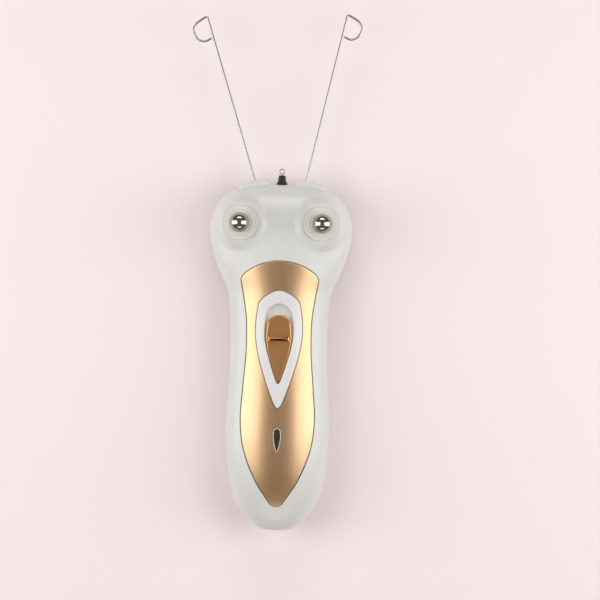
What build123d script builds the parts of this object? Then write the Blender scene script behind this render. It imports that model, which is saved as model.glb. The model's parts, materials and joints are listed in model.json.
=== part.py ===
from build123d import *
import math
import os

# Cotton-thread epilator lying on its back.  +X right, +Y toward the arms, +Z out of the front face.
# All sizes in millimetres.

# ---------------------------------------------------------------- general fits
FIXED_GAP = 0.02  # between pieces that are fixed together
SEAT_GAP = 0.05  # between moulded pieces seated in each other
RUN_GAP = 0.05  # shaft in its bearing
MOVE_GAP = 0.30  # between moving pieces
PANEL_GAP = 0.30  # visible line around the trim pieces

# ---------------------------------------------------------------- housing
SEAM_Z = 15.5  # plane where the two shells meet
WALL = 2.4
PLATE_THICK = 1.15
PLATE_SEAT = PLATE_THICK + SEAT_GAP
ROUNDNESS = 2.2  # exponent of the oval cross-section
SECTION_STEPS = 8
BODY_LENGTH = 152.6
ORIGIN_Y = 82.0  # point of the back's flat, under the handle, where the exported pieces have their origin

# along, half width, height in front of the seam, depth behind the seam
STATIONS = [
    (0.0, 5.0, 5.0, 5.0),
    (0.9, 8.0, 6.6, 6.9),
    (4.0, 12.3, 9.3, 9.9),
    (8.6, 16.2, 11.4, 12.2),
    (15.2, 19.4, 13.3, 14.2),
    (24.0, 21.4, 14.7, 15.6),
    (35.9, 22.7, 15.5, 16.1),
    (48.0, 22.9, 15.6, 16.1),
    (64.0, 22.0, 15.1, 16.1),
    (80.0, 21.6, 14.6, 16.1),
    (95.0, 21.8, 14.5, 16.1),
    (104.5, 22.9, 14.7, 16.1),
    (112.0, 26.0, 15.1, 16.1),
    (119.0, 29.0, 15.4, 16.1),
    (127.0, 31.0, 15.5, 16.1),
    (135.0, 31.4, 15.4, 16.1),
    (141.5, 29.7, 14.5, 15.4),
    (146.2, 26.6, 12.6, 13.6),
    (149.4, 22.6, 10.4, 11.4),
    (151.2, 18.2, 8.4, 9.2),
    (152.2, 13.4, 6.4, 6.8),
    (BODY_LENGTH, 9.0, 4.6, 4.8),
]


def signed_power(value, power):
    return math.copysign(abs(value) ** power, value)


def half_oval(y, half_width, height, side):
    """Half of the oval in the plane at y; side is +1 in front of the seam, -1 behind it."""
    power = 2 / ROUNDNESS
    points = []
    for step in range(SECTION_STEPS + 1):
        angle = math.pi * step / SECTION_STEPS
        x = side * half_width * signed_power(math.cos(angle), power)
        z = height * abs(math.sin(angle)) ** power
        points.append((x, y, SEAM_Z + side * z))
    return Spline(*points, tangents=[(0, 0, side), (0, 0, -side)])


def body(inset):
    """Loft of the ovals along the whole housing, moved inward by inset."""
    middle = BODY_LENGTH / 2
    squeeze = (middle - inset) / middle
    wires = []
    for y, half_width, front_height, back_depth in STATIONS:
        at = middle + (y - middle) * squeeze
        across = half_width - inset
        wires.append(
            Wire([half_oval(at, across, front_height - inset, 1), half_oval(at, across, back_depth - inset, -1)])
        )
    return Solid.make_loft(wires)


def block(x0, x1, y0, y1, z0, z1):
    return Pos((x0 + x1) / 2, (y0 + y1) / 2, (z0 + z1) / 2) * Box(x1 - x0, y1 - y0, z1 - z0)


def rod(radius, length, start, direction=(0, 0, 1)):
    return Plane(origin=start, z_dir=direction) * Pos(0, 0, length / 2) * Cylinder(radius, length)


def prism(outline, z0, z1):
    """Straight extrusion of a closed outline drawn in the XY plane."""
    return extrude(Pos(0, 0, z0) * make_face(outline), amount=z1 - z0)


def put(shape, name):
    export_step(Pos(0, -ORIGIN_Y, 0) * shape, f"parts/{name}.step")


os.makedirs("parts", exist_ok=True)

outer = body(0)
hollow = body(WALL)
front_space = block(-60, 60, -10, 200, SEAM_Z, 60)
rear_space = block(-60, 60, -10, 200, 0, SEAM_Z)

# ---------------------------------------------------------------- decorative faceplate
PLATE_TOP_Y = 118.8
PLATE_SHOULDER = (17.3, 111.4)
PLATE_CORNER_RADIUS = 2.2
PLATE_SIDE = [(15.5, 102.0), (14.2, 92.0), (14.2, 78.0), (15.4, 62.5), (16.2, 49.0), (14.6, 36.0), (9.6, 23.0)]
PLATE_TIP_SIDE = (3.6, 13.7)
PLATE_TIP_Y = 11.2

# ---------------------------------------------------------------- switch
# share of the length down from the blunt end, share of the half width
TEARDROP = [(0.075, 0.76), (0.19, 0.94), (0.36, 1.0), (0.55, 0.86), (0.75, 0.56), (0.9, 0.29), (0.975, 0.13)]
BEZEL_Y = (54.3, 105.8)
BEZEL_WIDTH = 20.5
BEZEL_PROUD = 0.7
BEZEL_BOTTOM_Z = 26.4
OPENING_Y = (64.9, 100.1)
OPENING_WIDTH = 12.8
OPENING_FLOOR_Z = 28.0
SLIDER_Y = (65.9, 95.2)
SLIDER_WIDTH = 11.2
SLIDER_GAP = 0.2
SLIDER_TOP_Z = 30.2
SLIDER_BEVEL = 0.45
SLIDER_TRAVEL = 4.5
RIDGE_Y = 84.7
RIDGE_LENGTH = 9.2
RIDGE_END_WIDTH = 1.7
RIDGE_WAIST_WIDTH = 1.0
RIDGE_HEIGHT = 0.9
STEM_Y = 74.0
STEM_SIZE = 3.2
CARRIER_WIDTH = 9.0
CARRIER_LENGTH = 10.0
CARRIER_BOTTOM_Z = 24.9
LEVER_SIZE = 1.6
SWITCH_WIDTH = 4.4
SWITCH_Y = (70.5, 81.2)
SWITCH_TOP_Z = 24.3
SWITCH_SLOT_Z = 22.7

# ---------------------------------------------------------------- indicator
INDICATOR_Y = (35.4, 45.3)
INDICATOR_WIDTH = 2.9
INDICATOR_RIM = 0.35
INDICATOR_RIM_Z = 30.05
INDICATOR_BOTTOM_Z = 27.0
LED_RADIUS = 1.5
LED_Y = 40.6

# ---------------------------------------------------------------- circuit board and battery
BOARD_BOTTOM_Z = 19.5
BOARD_THICK = 1.2
BOARD_TOP_Z = BOARD_BOTTOM_Z + BOARD_THICK
BOARD_Y = (19.8, 81.2)
BOARD_WIDTH = 17.0
BOARD_POSTS = [(6.5, 22.6), (6.5, 79.2)]
BOARD_POST_RADIUS = 1.9
BATTERY_RADIUS = 7.25
BATTERY_Y = (25.0, 75.5)
BATTERY_BUTTON = (2.7, 1.0)
BATTERY_Z = 9.7
CRADLE_RIBS = (36.0, 64.0)
CONTACT_THICK = 0.4

# ---------------------------------------------------------------- charging socket
SOCKET_BARREL_RADIUS = 3.0
SOCKET_BODY_SIZE = 7.4
SOCKET_FACE_Y = 0.2
SOCKET_SHOULDER_Y = 4.2
SOCKET_END_Y = 12.0
SOCKET_BORE_RADIUS = 1.75
SOCKET_BORE_DEPTH = 9.5
SOCKET_PIN_RADIUS = 0.65
SOCKET_PIN_LENGTH = 8.0

# ---------------------------------------------------------------- motor
MOTOR_RADIUS = 10.05
MOTOR_FLAT_HALF = 7.7
CAN_WALL = 0.8
MOTOR_Y = (84.5, 107.0)
END_CAP_Y = 82.0
MOTOR_BOSS = (3.1, 1.4)
SHAFT_RADIUS = 1.0
SHAFT_Y = (81.4, 116.2)
ARMATURE_RADIUS = 6.1
ARMATURE_Y = (88.5, 103.0)
COMMUTATOR_RADIUS = 2.3
MAGNET_INNER_RADIUS = 6.7

LEAD_X = 2.6

# ---------------------------------------------------------------- gear train
FRAME_Z = (5.8, 7.75)
FRAME_NARROW_HALF = 12.4
FRAME_WIDE_HALF = 16.0
FRAME_Y = (82.0, 110.0, 142.5)
FRAME_WALL_THICK = 2.0
FRAME_WALL_HALF = 9.0
FRAME_WALL_TOP_Z = 22.0
GEAR_Y = 122.0
GEAR_MODULE = 0.5
PINION_TEETH = 10
GEAR_TEETH = 30
PINION_PITCH_RADIUS = GEAR_MODULE * PINION_TEETH / 2
GEAR_PITCH_RADIUS = GEAR_MODULE * GEAR_TEETH / 2
TOOTH_RISE = 0.4
TOOTH_DEPTH = 0.55
TOOTH_ROOT_WIDTH = 0.72
TOOTH_TIP_WIDTH = 0.42
PINION_WIDTH = 2.6
CROWN_FACE = (6.2, 8.8)
GEAR_DISC_Z = (10.0, 12.2)
GEAR_HUB_RADIUS = 3.2
GEAR_PIN_RADIUS = 1.5
GEAR_PIN_TOP_Z = 11.2
CRANK_THROW = 1.05
CRANK_PIN_RADIUS = 1.0

# ---------------------------------------------------------------- arm drive
ARM_PIVOT = (7.0, 138.0)
ARM_MID_ANGLE = 15.05
ARM_REST_LEAN = 2.2
LEVER_LENGTH = 10.0
LEVER_PIN_RADIUS = 0.8
YOKE_Z = (14.0, 15.3)
GUIDE_POST = (11.5, 124.0)
POST_RADIUS = 1.2
POST_SHOULDER_RADIUS = 2.1
ROCKER_HUB_RADIUS = 3.1
ROCKER_Z = (13.2, 18.7)
ROCKER_LEVER_BOTTOM_Z = 15.65
SOCKET_RADIUS = 1.7
SOCKET_LENGTH = 9.0
WIRE_RADIUS = 0.5
WIRE_START = 3.2
ARM_LENGTH = 93.2
HAIRPIN_RADIUS = 0.7
HAIRPIN_TURN = 105.0
EYE_POINTS = [(5.4, 91.5), (7.6, 88.6), (6.9, 85.0), (4.2, 82.9), (1.15, 83.3)]
TOP_PLATE_Z = (19.0, 20.4)
TOP_PLATE_Y = (115.0, 142.5)
PILLARS = [(14.0, 117.3), (14.0, 140.2)]
PILLAR_RADIUS = 2.0
FRAME_SCREWS = [(11.8, 113.0), (13.0, 132.0)]
FRAME_POST_RADIUS = 2.6

# ---------------------------------------------------------------- slot covers
COVER_TOP = [
    (5.2, 151.4),
    (5.9, 154.2),
    (8.2, 154.9),
    (13.0, 154.1),
    (18.2, 152.6),
    (19.0, 150.6),
]
COVER_BOTTOM_Y = 148.6
COVER_HALF_DEPTH = 5.75
COVER_SLOT_X = (7.8, 14.6)
COVER_SLOT_HALF = 0.85

# ---------------------------------------------------------------- thread hook
HOOK_SEAT_RADIUS = 3.4
HOOK_SEAT_Y = 152.95
HOOK_SHANK_Y = 150.4
SLEEVE_PROFILE = [(2.45, 153.0), (2.45, 153.45), (1.85, 154.3), (1.65, 156.0), (1.35, 157.1)]
SLEEVE_PEG_RADIUS = 1.5
HOOK_WIRE_RADIUS = 0.27
HOOK_LOOP_RADIUS = 1.05
HOOK_LOOP_Y = 158.75

# ---------------------------------------------------------------- thread clamps
KNOB_PLACE = (17.5, 135.2, 31.0)
KNOB_TILT = 5.0
MOUND_TOP_RADIUS = 8.3
MOUND_BASE_RADIUS = 11.0
MOUND_HEIGHT = 7.0
COLLAR_STEPS = [(7.5, 1.7), (5.9, 0.9)]
KNOB_RADIUS = 4.4
KNOB_FLAT_RADIUS = 2.5
KNOB_REST_GAP = 0.15
STEM_RADIUS = 1.5
KNOB_STEM_END = -9.8
CLAMP_BOSS_RADIUS = 4.2
CLAMP_BOSS_END = -5.8
CLIP_Z = (-9.2, -8.6)
CLIP_OUTER_RADIUS = 3.0
CLIP_GROOVE_RADIUS = 1.1
SPRING_RADIUS = 2.15
SPRING_WIRE_RADIUS = 0.28
SPRING_TURNS = 2.5

# ---------------------------------------------------------------- shell screws
SHELL_SCREWS = [(14.5, 19.5, 7.5), (22.5, 127.0, 7.0)]
SHELL_BOSS_RADIUS = 3.2
SCREW_HEAD_RADIUS = 1.9
SCREW_HEAD_HEIGHT = 1.3
SCREW_RADIUS = 1.0
SCREW_LENGTH = 13.5
SMALL_SCREW_RADIUS = 0.9


def grown(points, amount):
    """The points of a clockwise closed outline, each moved outward by amount."""
    moved = []
    for index, (x, y) in enumerate(points):
        x_before, y_before = points[index - 1]
        x_after, y_after = points[(index + 1) % len(points)]
        length = math.hypot(x_after - x_before, y_after - y_before)
        moved.append(
            (x - amount * (y_after - y_before) / length, y + amount * (x_after - x_before) / length)
        )
    return moved


def mirrored(points):
    """The right-hand points of a clockwise outline, then the same on the left."""
    return points + [(-x, y) for x, y in reversed(points) if x > 0]


def teardrop(span, width, grow=0.0):
    """Closed outline from span[0] to span[1] with its tip toward -Y; grow moves it outward."""
    low, high = span
    points = [(0, high)]
    for share, across in TEARDROP:
        points.append((width / 2 * across, high - share * (high - low)))
    points.append((0, low))
    return make_face(Spline(*grown(mirrored(points), grow), periodic=True))


def cut_prism(face, z0, z1):
    return extrude(Pos(0, 0, z0) * face, amount=z1 - z0)


def plate_outline(grow=0.0):
    side = [PLATE_SHOULDER] + PLATE_SIDE + [PLATE_TIP_SIDE]
    points = grown(mirrored([(0, PLATE_TOP_Y)] + side + [(0, PLATE_TIP_Y)]), grow)
    top = points[0]
    right = points[1 : len(side) + 1]
    tip = points[len(side) + 1]
    left = points[len(side) + 2 :]
    face = make_face(
        [
            ThreePointArc(left[-1], top, right[0]),
            Spline(*right),
            ThreePointArc(right[-1], tip, left[0]),
            Spline(*left),
        ]
    )
    corners = face.vertices().sort_by(Axis.Y)[-2:]
    return fillet(corners, PLATE_CORNER_RADIUS + grow)


def cover_prism(gap):
    """The slot cover's block before its slot; gap makes the opening it sits in."""
    low_y = COVER_BOTTOM_Y - gap
    corners = [(COVER_TOP[0][0], low_y)] + COVER_TOP + [(COVER_TOP[-1][0], low_y)]
    points = grown(corners, gap)
    outline = [
        Line(points[0], points[1]),
        Spline(*points[1:-1]),
        Line(points[-2], points[-1]),
        Line(points[-1], points[0]),
    ]
    depth = COVER_HALF_DEPTH + gap
    return prism(outline, SEAM_Z - depth, SEAM_Z + depth)


HIGH_Z = 45.0
SIDES = (1, -1)


def whole(right_half):
    """The piece made of a right-hand half and its mirror image."""
    return right_half + mirror(right_half, about=Plane.YZ)


def knob_frame(side):
    lean = math.radians(KNOB_TILT)
    x, y, z = KNOB_PLACE
    return Plane(origin=(side * x, y, z), x_dir=(0, 1, 0), z_dir=(side * math.sin(lean), 0, math.cos(lean)))


def local_rod(side, radius, z0, z1):
    return knob_frame(side) * Pos(0, 0, (z0 + z1) / 2) * Cylinder(radius, z1 - z0)


# ---------------------------------------------------------------- front shell, right half
hook_hole = rod(SLEEVE_PEG_RADIUS + SEAT_GAP, 8.0, (0, 147.0, SEAM_Z), (0, 1, 0))
hook_seat = rod(HOOK_SEAT_RADIUS, HOOK_SEAT_Y - 150.5, (0, 150.5, SEAM_Z), (0, 1, 0))
socket_hole = rod(SOCKET_BARREL_RADIUS + SEAT_GAP, 6.0, (0, -1.0, SEAM_Z), (0, 1, 0))

cone = Pos(0, 0, -MOUND_HEIGHT / 2) * Cone(MOUND_BASE_RADIUS, MOUND_TOP_RADIUS, MOUND_HEIGHT)
mound = knob_frame(1) * fillet(cone.edges().group_by(Axis.Z)[-1], 0.8)

right_space = block(0, 60, -10, 200, 0, 60)
right_outer = outer & right_space
shell = (outer - hollow) & right_space
front = (shell & front_space) - cover_prism(SEAT_GAP) - socket_hole
front = front + ((mound - hollow) & right_space)
for x, y, _ in SHELL_SCREWS:
    front = front + (rod(SHELL_BOSS_RADIUS, HIGH_Z, (x, y, SEAM_Z)) & outer)
front = front + local_rod(1, CLAMP_BOSS_RADIUS, CLAMP_BOSS_END, -1.0)
front = front - local_rod(1, STEM_RADIUS + 0.08, -20.0, 5.0)
pocket = cut_prism(plate_outline(PANEL_GAP), SEAM_Z + 5, HIGH_Z) & block(-1, 60, -10, 200, 0, 60)
front = front - (pocket - body(PLATE_SEAT))
front = front - cut_prism(teardrop(BEZEL_Y, BEZEL_WIDTH, SEAT_GAP), SEAM_Z + 5, HIGH_Z)
front = front - cut_prism(teardrop(INDICATOR_Y, INDICATOR_WIDTH, SEAT_GAP), SEAM_Z + 5, HIGH_Z)
front = front + (hook_seat & front_space & right_space)
front = front - hook_hole
for x, y, _ in SHELL_SCREWS:
    front = front - rod(SCREW_RADIUS + FIXED_GAP, 6.3, (x, y, SEAM_Z))
front = whole(front)
put(front, "front_shell")

# ---------------------------------------------------------------- rear shell, right half
rear_hull = right_outer & rear_space
rear = (shell & rear_space) - cover_prism(SEAT_GAP) - socket_hole
battery_space = rod(BATTERY_RADIUS + SEAT_GAP, 51.0, (0, BATTERY_Y[0] - 0.2, BATTERY_Z), (0, 1, 0))
negative_wall_y = BATTERY_Y[0] - 5.1
positive_wall_y = BATTERY_Y[1] + BATTERY_BUTTON[1] + CONTACT_THICK + 2 * SEAT_GAP
additions = [
    block(-4.2, 4.2, negative_wall_y - 1.4, negative_wall_y, 0, 14),
    block(-4.2, 4.2, positive_wall_y, positive_wall_y + 1.2, 0, 14),
]
for x, y, _ in SHELL_SCREWS:
    additions.append(rod(SHELL_BOSS_RADIUS, SEAM_Z, (x, y, 0)))
for x, y in FRAME_SCREWS:
    additions.append(rod(FRAME_POST_RADIUS, FRAME_Z[0], (x, y, 0)))
for y in CRADLE_RIBS:
    additions.append(block(-10, 10, y - 1, y + 1, 0, BATTERY_Z - 1) - battery_space)
for piece in additions:
    rear = rear + (piece & rear_hull)
rear = rear + (hook_seat & rear_space & right_space)
for x, y in BOARD_POSTS:
    lower = rod(BOARD_POST_RADIUS, SEAM_Z, (x, y, 0)) & rear_hull
    rear = rear + (lower + rod(BOARD_POST_RADIUS, BOARD_BOTTOM_Z - SEAM_Z + 2, (x, y, SEAM_Z - 2)))
rear = rear - hook_hole
for x, y, seat_z in SHELL_SCREWS:
    rear = rear - rod(SCREW_HEAD_RADIUS + 0.3, seat_z + 5, (x, y, -5.0))
    rear = rear - rod(SCREW_RADIUS + 0.1, 20, (x, y, 0))
for x, y in FRAME_SCREWS:
    rear = rear - rod(SMALL_SCREW_RADIUS + FIXED_GAP, 2.0, (x, y, FRAME_Z[0]), (0, 0, -1))
for x, y in BOARD_POSTS:
    rear = rear - rod(SMALL_SCREW_RADIUS + FIXED_GAP, 6.0, (x, y, BOARD_BOTTOM_Z), (0, 0, -1))
rear = whole(rear)
put(rear, "rear_shell")

# ---------------------------------------------------------------- faceplate
plate = right_outer & block(0, 60, -10, 200, SEAM_Z + 5, 60) & cut_prism(plate_outline(), SEAM_Z + 5, HIGH_Z)
plate = plate - body(PLATE_THICK)
plate = plate - cut_prism(teardrop(BEZEL_Y, BEZEL_WIDTH, PANEL_GAP), SEAM_Z, HIGH_Z)
plate = plate - cut_prism(teardrop(INDICATOR_Y, INDICATOR_WIDTH, INDICATOR_RIM + 2 * SEAT_GAP), SEAM_Z, HIGH_Z)
plate = whole(plate)
put(plate, "faceplate")

# ---------------------------------------------------------------- switch bezel
bezel = body(-BEZEL_PROUD) & cut_prism(teardrop(BEZEL_Y, BEZEL_WIDTH), BEZEL_BOTTOM_Z, HIGH_Z)
bezel = bezel - cut_prism(teardrop(OPENING_Y, OPENING_WIDTH), OPENING_FLOOR_Z, HIGH_Z)
stem_half = STEM_SIZE / 2
bezel = bezel - block(
    -stem_half - MOVE_GAP,
    stem_half + MOVE_GAP,
    STEM_Y - stem_half - MOVE_GAP,
    STEM_Y + stem_half + SLIDER_TRAVEL + MOVE_GAP,
    BEZEL_BOTTOM_Z - 1,
    OPENING_FLOOR_Z + 1,
)
put(bezel, "switch_bezel")

# ---------------------------------------------------------------- slider
slider_bottom = OPENING_FLOOR_Z + SLIDER_GAP
bevel_z = SLIDER_TOP_Z - SLIDER_BEVEL
slider = cut_prism(teardrop(SLIDER_Y, SLIDER_WIDTH), slider_bottom, bevel_z)
top_span = (SLIDER_Y[0] + 2 * SLIDER_BEVEL, SLIDER_Y[1] - SLIDER_BEVEL)
slider_top = Pos(0, 0, SLIDER_TOP_Z) * teardrop(top_span, SLIDER_WIDTH - 2 * SLIDER_BEVEL)
slider = slider + loft([Pos(0, 0, bevel_z) * teardrop(SLIDER_Y, SLIDER_WIDTH), slider_top])
half_length = RIDGE_LENGTH / 2
half_end = RIDGE_END_WIDTH / 2
half_waist = RIDGE_WAIST_WIDTH / 2
ridge = [
    ThreePointArc((-half_length, RIDGE_Y + half_end), (0, RIDGE_Y + half_waist), (half_length, RIDGE_Y + half_end)),
    Line((half_length, RIDGE_Y + half_end), (half_length, RIDGE_Y - half_end)),
    ThreePointArc((half_length, RIDGE_Y - half_end), (0, RIDGE_Y - half_waist), (-half_length, RIDGE_Y - half_end)),
    Line((-half_length, RIDGE_Y - half_end), (-half_length, RIDGE_Y + half_end)),
]
slider = slider + prism(ridge, SLIDER_TOP_Z, SLIDER_TOP_Z + RIDGE_HEIGHT)
put(slider, "slider_button")

carrier_top = BEZEL_BOTTOM_Z - SLIDER_GAP
carrier = block(-CARRIER_WIDTH / 2, CARRIER_WIDTH / 2, STEM_Y - 4, STEM_Y - 4 + CARRIER_LENGTH, CARRIER_BOTTOM_Z, carrier_top)
carrier = carrier + block(
    -stem_half, stem_half, STEM_Y - stem_half, STEM_Y + stem_half, CARRIER_BOTTOM_Z, slider_bottom - FIXED_GAP
)
half_lever = LEVER_SIZE / 2
lever_top = carrier_top - 0.2
pocket_half = half_lever + FIXED_GAP
carrier = carrier - block(
    -pocket_half, pocket_half, STEM_Y - pocket_half, STEM_Y + pocket_half, CARRIER_BOTTOM_Z - 1, lever_top + FIXED_GAP
)
put(carrier, "slider_carrier")
lever_bottom = SWITCH_SLOT_Z + 0.2
put(block(-half_lever, half_lever, STEM_Y - half_lever, STEM_Y + half_lever, lever_bottom, lever_top), "switch_lever")

switch = block(-SWITCH_WIDTH / 2, SWITCH_WIDTH / 2, *SWITCH_Y, BOARD_TOP_Z + FIXED_GAP, SWITCH_TOP_Z)
slot_half = half_lever + MOVE_GAP
switch = switch - block(
    -slot_half, slot_half, STEM_Y - slot_half, STEM_Y + slot_half + SLIDER_TRAVEL, SWITCH_SLOT_Z, SWITCH_TOP_Z + 1
)
put(switch, "slide_switch")

# ---------------------------------------------------------------- indicator
window_column = cut_prism(teardrop(INDICATOR_Y, INDICATOR_WIDTH), INDICATOR_BOTTOM_Z, HIGH_Z)
lens = body(0.2) & window_column
put(lens, "indicator_lens")
rim = cut_prism(teardrop(INDICATOR_Y, INDICATOR_WIDTH, INDICATOR_RIM), INDICATOR_RIM_Z, HIGH_Z) & body(-0.15)
rim = rim - cut_prism(teardrop(INDICATOR_Y, INDICATOR_WIDTH, FIXED_GAP), SEAM_Z, HIGH_Z)
put(rim, "indicator_rim")
led = rod(LED_RADIUS, 3.2, (0, LED_Y, BOARD_TOP_Z + FIXED_GAP)) + Pos(0, LED_Y, BOARD_TOP_Z + FIXED_GAP + 3.2) * Sphere(LED_RADIUS)
put(led, "indicator_led")

# ---------------------------------------------------------------- board and battery
board = block(-BOARD_WIDTH / 2, BOARD_WIDTH / 2, *BOARD_Y, BOARD_BOTTOM_Z + FIXED_GAP, BOARD_TOP_Z)
for x, y in BOARD_POSTS:
    for side in SIDES:
        board = board - rod(SMALL_SCREW_RADIUS + 0.15, 10, (side * x, y, BOARD_BOTTOM_Z - 2))
put(board, "circuit_board")


def screw(x, y, seat_z, length, radius, head_radius, head_height, up=1):
    """Pan head resting on seat_z; up is the side the head is on."""
    head = rod(head_radius, head_height, (x, y, seat_z), (0, 0, up))
    shank = rod(radius, length, (x, y, seat_z), (0, 0, -up))
    return head + shank


board_screws = []
frame_screws = []
top_screws = []
shell_screws = []
for side in SIDES:
    for x, y in BOARD_POSTS:
        board_screws.append(screw(side * x, y, BOARD_TOP_Z + FIXED_GAP, 5.0, SMALL_SCREW_RADIUS, 1.7, 1.0))
    for x, y in FRAME_SCREWS:
        frame_screws.append(screw(side * x, y, FRAME_Z[1] + FIXED_GAP, 3.6, SMALL_SCREW_RADIUS, 1.7, 1.0))
    for x, y in PILLARS:
        top_screws.append(screw(side * x, y, TOP_PLATE_Z[1] + FIXED_GAP, 6.0, SMALL_SCREW_RADIUS, 1.7, 1.0))
    for x, y, seat_z in SHELL_SCREWS:
        shell_screws.append(
            screw(side * x, y, seat_z - FIXED_GAP, SCREW_LENGTH, SCREW_RADIUS, SCREW_HEAD_RADIUS, SCREW_HEAD_HEIGHT, -1)
        )
put(Compound(board_screws), "board_screws")
put(Compound(frame_screws), "frame_screws")
put(Compound(top_screws), "top_plate_screws")
put(Compound(shell_screws), "shell_screws")

battery = rod(BATTERY_RADIUS, BATTERY_Y[1] - BATTERY_Y[0], (0, BATTERY_Y[0], BATTERY_Z), (0, 1, 0))
battery = fillet(battery.edges(), 0.6)
button_radius, button_height = BATTERY_BUTTON
battery = battery + rod(button_radius, button_height, (0, BATTERY_Y[1], BATTERY_Z), (0, 1, 0))
put(battery, "battery")
positive_y = BATTERY_Y[1] + button_height + SEAT_GAP
positive = block(-3.6, 3.6, positive_y, positive_y + CONTACT_THICK, 5.0, BOARD_BOTTOM_Z)
put(positive, "positive_contact")


def coil(frame, radius, wire_radius, height, turns):
    helix = Helix(height / turns, height, radius)
    profile = Plane(origin=helix @ 0, z_dir=helix % 0) * Circle(wire_radius)
    return frame * sweep(profile, path=helix, is_frenet=True)


negative_y = negative_wall_y + SEAT_GAP
negative = block(-3.6, 3.6, negative_y, negative_y + CONTACT_THICK, 5.0, BOARD_BOTTOM_Z)
spring_length = BATTERY_Y[0] - negative_y - CONTACT_THICK - 0.7
spring_start = negative_y + CONTACT_THICK + 0.33
negative = negative + coil(
    Plane(origin=(0, spring_start, BATTERY_Z), z_dir=(0, 1, 0)), 2.8, 0.35, spring_length, 3
)
put(negative, "negative_contact")

# ---------------------------------------------------------------- charging socket
socket = rod(SOCKET_BARREL_RADIUS, SOCKET_SHOULDER_Y + 1 - SOCKET_FACE_Y, (0, SOCKET_FACE_Y, SEAM_Z), (0, 1, 0))
half_body_size = SOCKET_BODY_SIZE / 2
socket = socket + block(
    -half_body_size,
    half_body_size,
    SOCKET_SHOULDER_Y,
    SOCKET_END_Y,
    SEAM_Z - half_body_size,
    SEAM_Z + half_body_size,
)
socket = socket - rod(SOCKET_BORE_RADIUS, SOCKET_BORE_DEPTH, (0, SOCKET_FACE_Y - 0.01, SEAM_Z), (0, 1, 0))
put(socket, "charging_socket")
pin_start = SOCKET_FACE_Y + SOCKET_BORE_DEPTH - SOCKET_PIN_LENGTH
put(rod(SOCKET_PIN_RADIUS, SOCKET_PIN_LENGTH - FIXED_GAP, (0, pin_start, SEAM_Z), (0, 1, 0)), "socket_pin")

# ---------------------------------------------------------------- motor


def motor_profile(y0, y1, inset):
    flats = block(-20, 20, y0, y1, SEAM_Z - MOTOR_FLAT_HALF + inset, SEAM_Z + MOTOR_FLAT_HALF - inset)
    return rod(MOTOR_RADIUS - inset, y1 - y0, (0, y0, SEAM_Z), (0, 1, 0)) & flats


can = motor_profile(*MOTOR_Y, 0) - motor_profile(MOTOR_Y[0] - 1, MOTOR_Y[1] - 1, CAN_WALL)
can = can + rod(MOTOR_BOSS[0], MOTOR_BOSS[1], (0, MOTOR_Y[1], SEAM_Z), (0, 1, 0))
shaft_hole = rod(SHAFT_RADIUS + RUN_GAP, 60, (0, 70, SEAM_Z), (0, 1, 0))
put(can - shaft_hole, "motor_can")
end_cap = motor_profile(END_CAP_Y, MOTOR_Y[0] - FIXED_GAP, 0.1)
put(end_cap - shaft_hole, "motor_end_cap")
rotor = rod(SHAFT_RADIUS, SHAFT_Y[1] - SHAFT_Y[0], (0, SHAFT_Y[0], SEAM_Z), (0, 1, 0))
rotor = rotor + rod(ARMATURE_RADIUS, ARMATURE_Y[1] - ARMATURE_Y[0], (0, ARMATURE_Y[0], SEAM_Z), (0, 1, 0))
rotor = rotor + rod(COMMUTATOR_RADIUS, 3.0, (0, MOTOR_Y[0] + 0.4, SEAM_Z), (0, 1, 0))
put(rotor, "motor_rotor")
magnet_ring = motor_profile(ARMATURE_Y[0] - 1, ARMATURE_Y[1] + 1, CAN_WALL + FIXED_GAP)
magnet_ring = magnet_ring - rod(MAGNET_INNER_RADIUS, 40, (0, 80, SEAM_Z), (0, 1, 0))
magnets = magnet_ring - block(-3, 3, 80, 120, 0, 40)
put(Compound(magnets.solids()), "motor_magnets")

# ---------------------------------------------------------------- gears


def tooth(y0, y1, root_z):
    """A straight tooth along Y, rising in +Z from root_z and thinner at its tip."""
    half_root = TOOTH_ROOT_WIDTH / 2
    half_tip = TOOTH_TIP_WIDTH / 2
    top_z = root_z + TOOTH_RISE + TOOTH_DEPTH
    corners = [(-half_root, root_z - 0.3), (-half_root, root_z), (-half_tip, top_z), (half_tip, top_z), (half_root, root_z), (half_root, root_z - 0.3)]
    outline = Polyline(*[(x, y0, z) for x, z in corners], close=True)
    return extrude(make_face(outline), amount=y1 - y0, dir=(0, 1, 0))


pinion_root = PINION_PITCH_RADIUS - TOOTH_DEPTH
pinion_mid_y = GEAR_Y - GEAR_PITCH_RADIUS
pinion_y = (pinion_mid_y - PINION_WIDTH / 2, pinion_mid_y + PINION_WIDTH / 2)
pinion = rod(pinion_root, PINION_WIDTH, (0, pinion_y[0], 0), (0, 1, 0))
for index in range(PINION_TEETH):
    pinion = pinion + Rot(0, 180 + 360 / PINION_TEETH * index, 0) * tooth(*pinion_y, pinion_root)
pinion = pinion - rod(SHAFT_RADIUS + FIXED_GAP, 60, (0, 80, 0), (0, 1, 0))
put(Pos(0, 0, SEAM_Z) * pinion, "motor_pinion")

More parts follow.
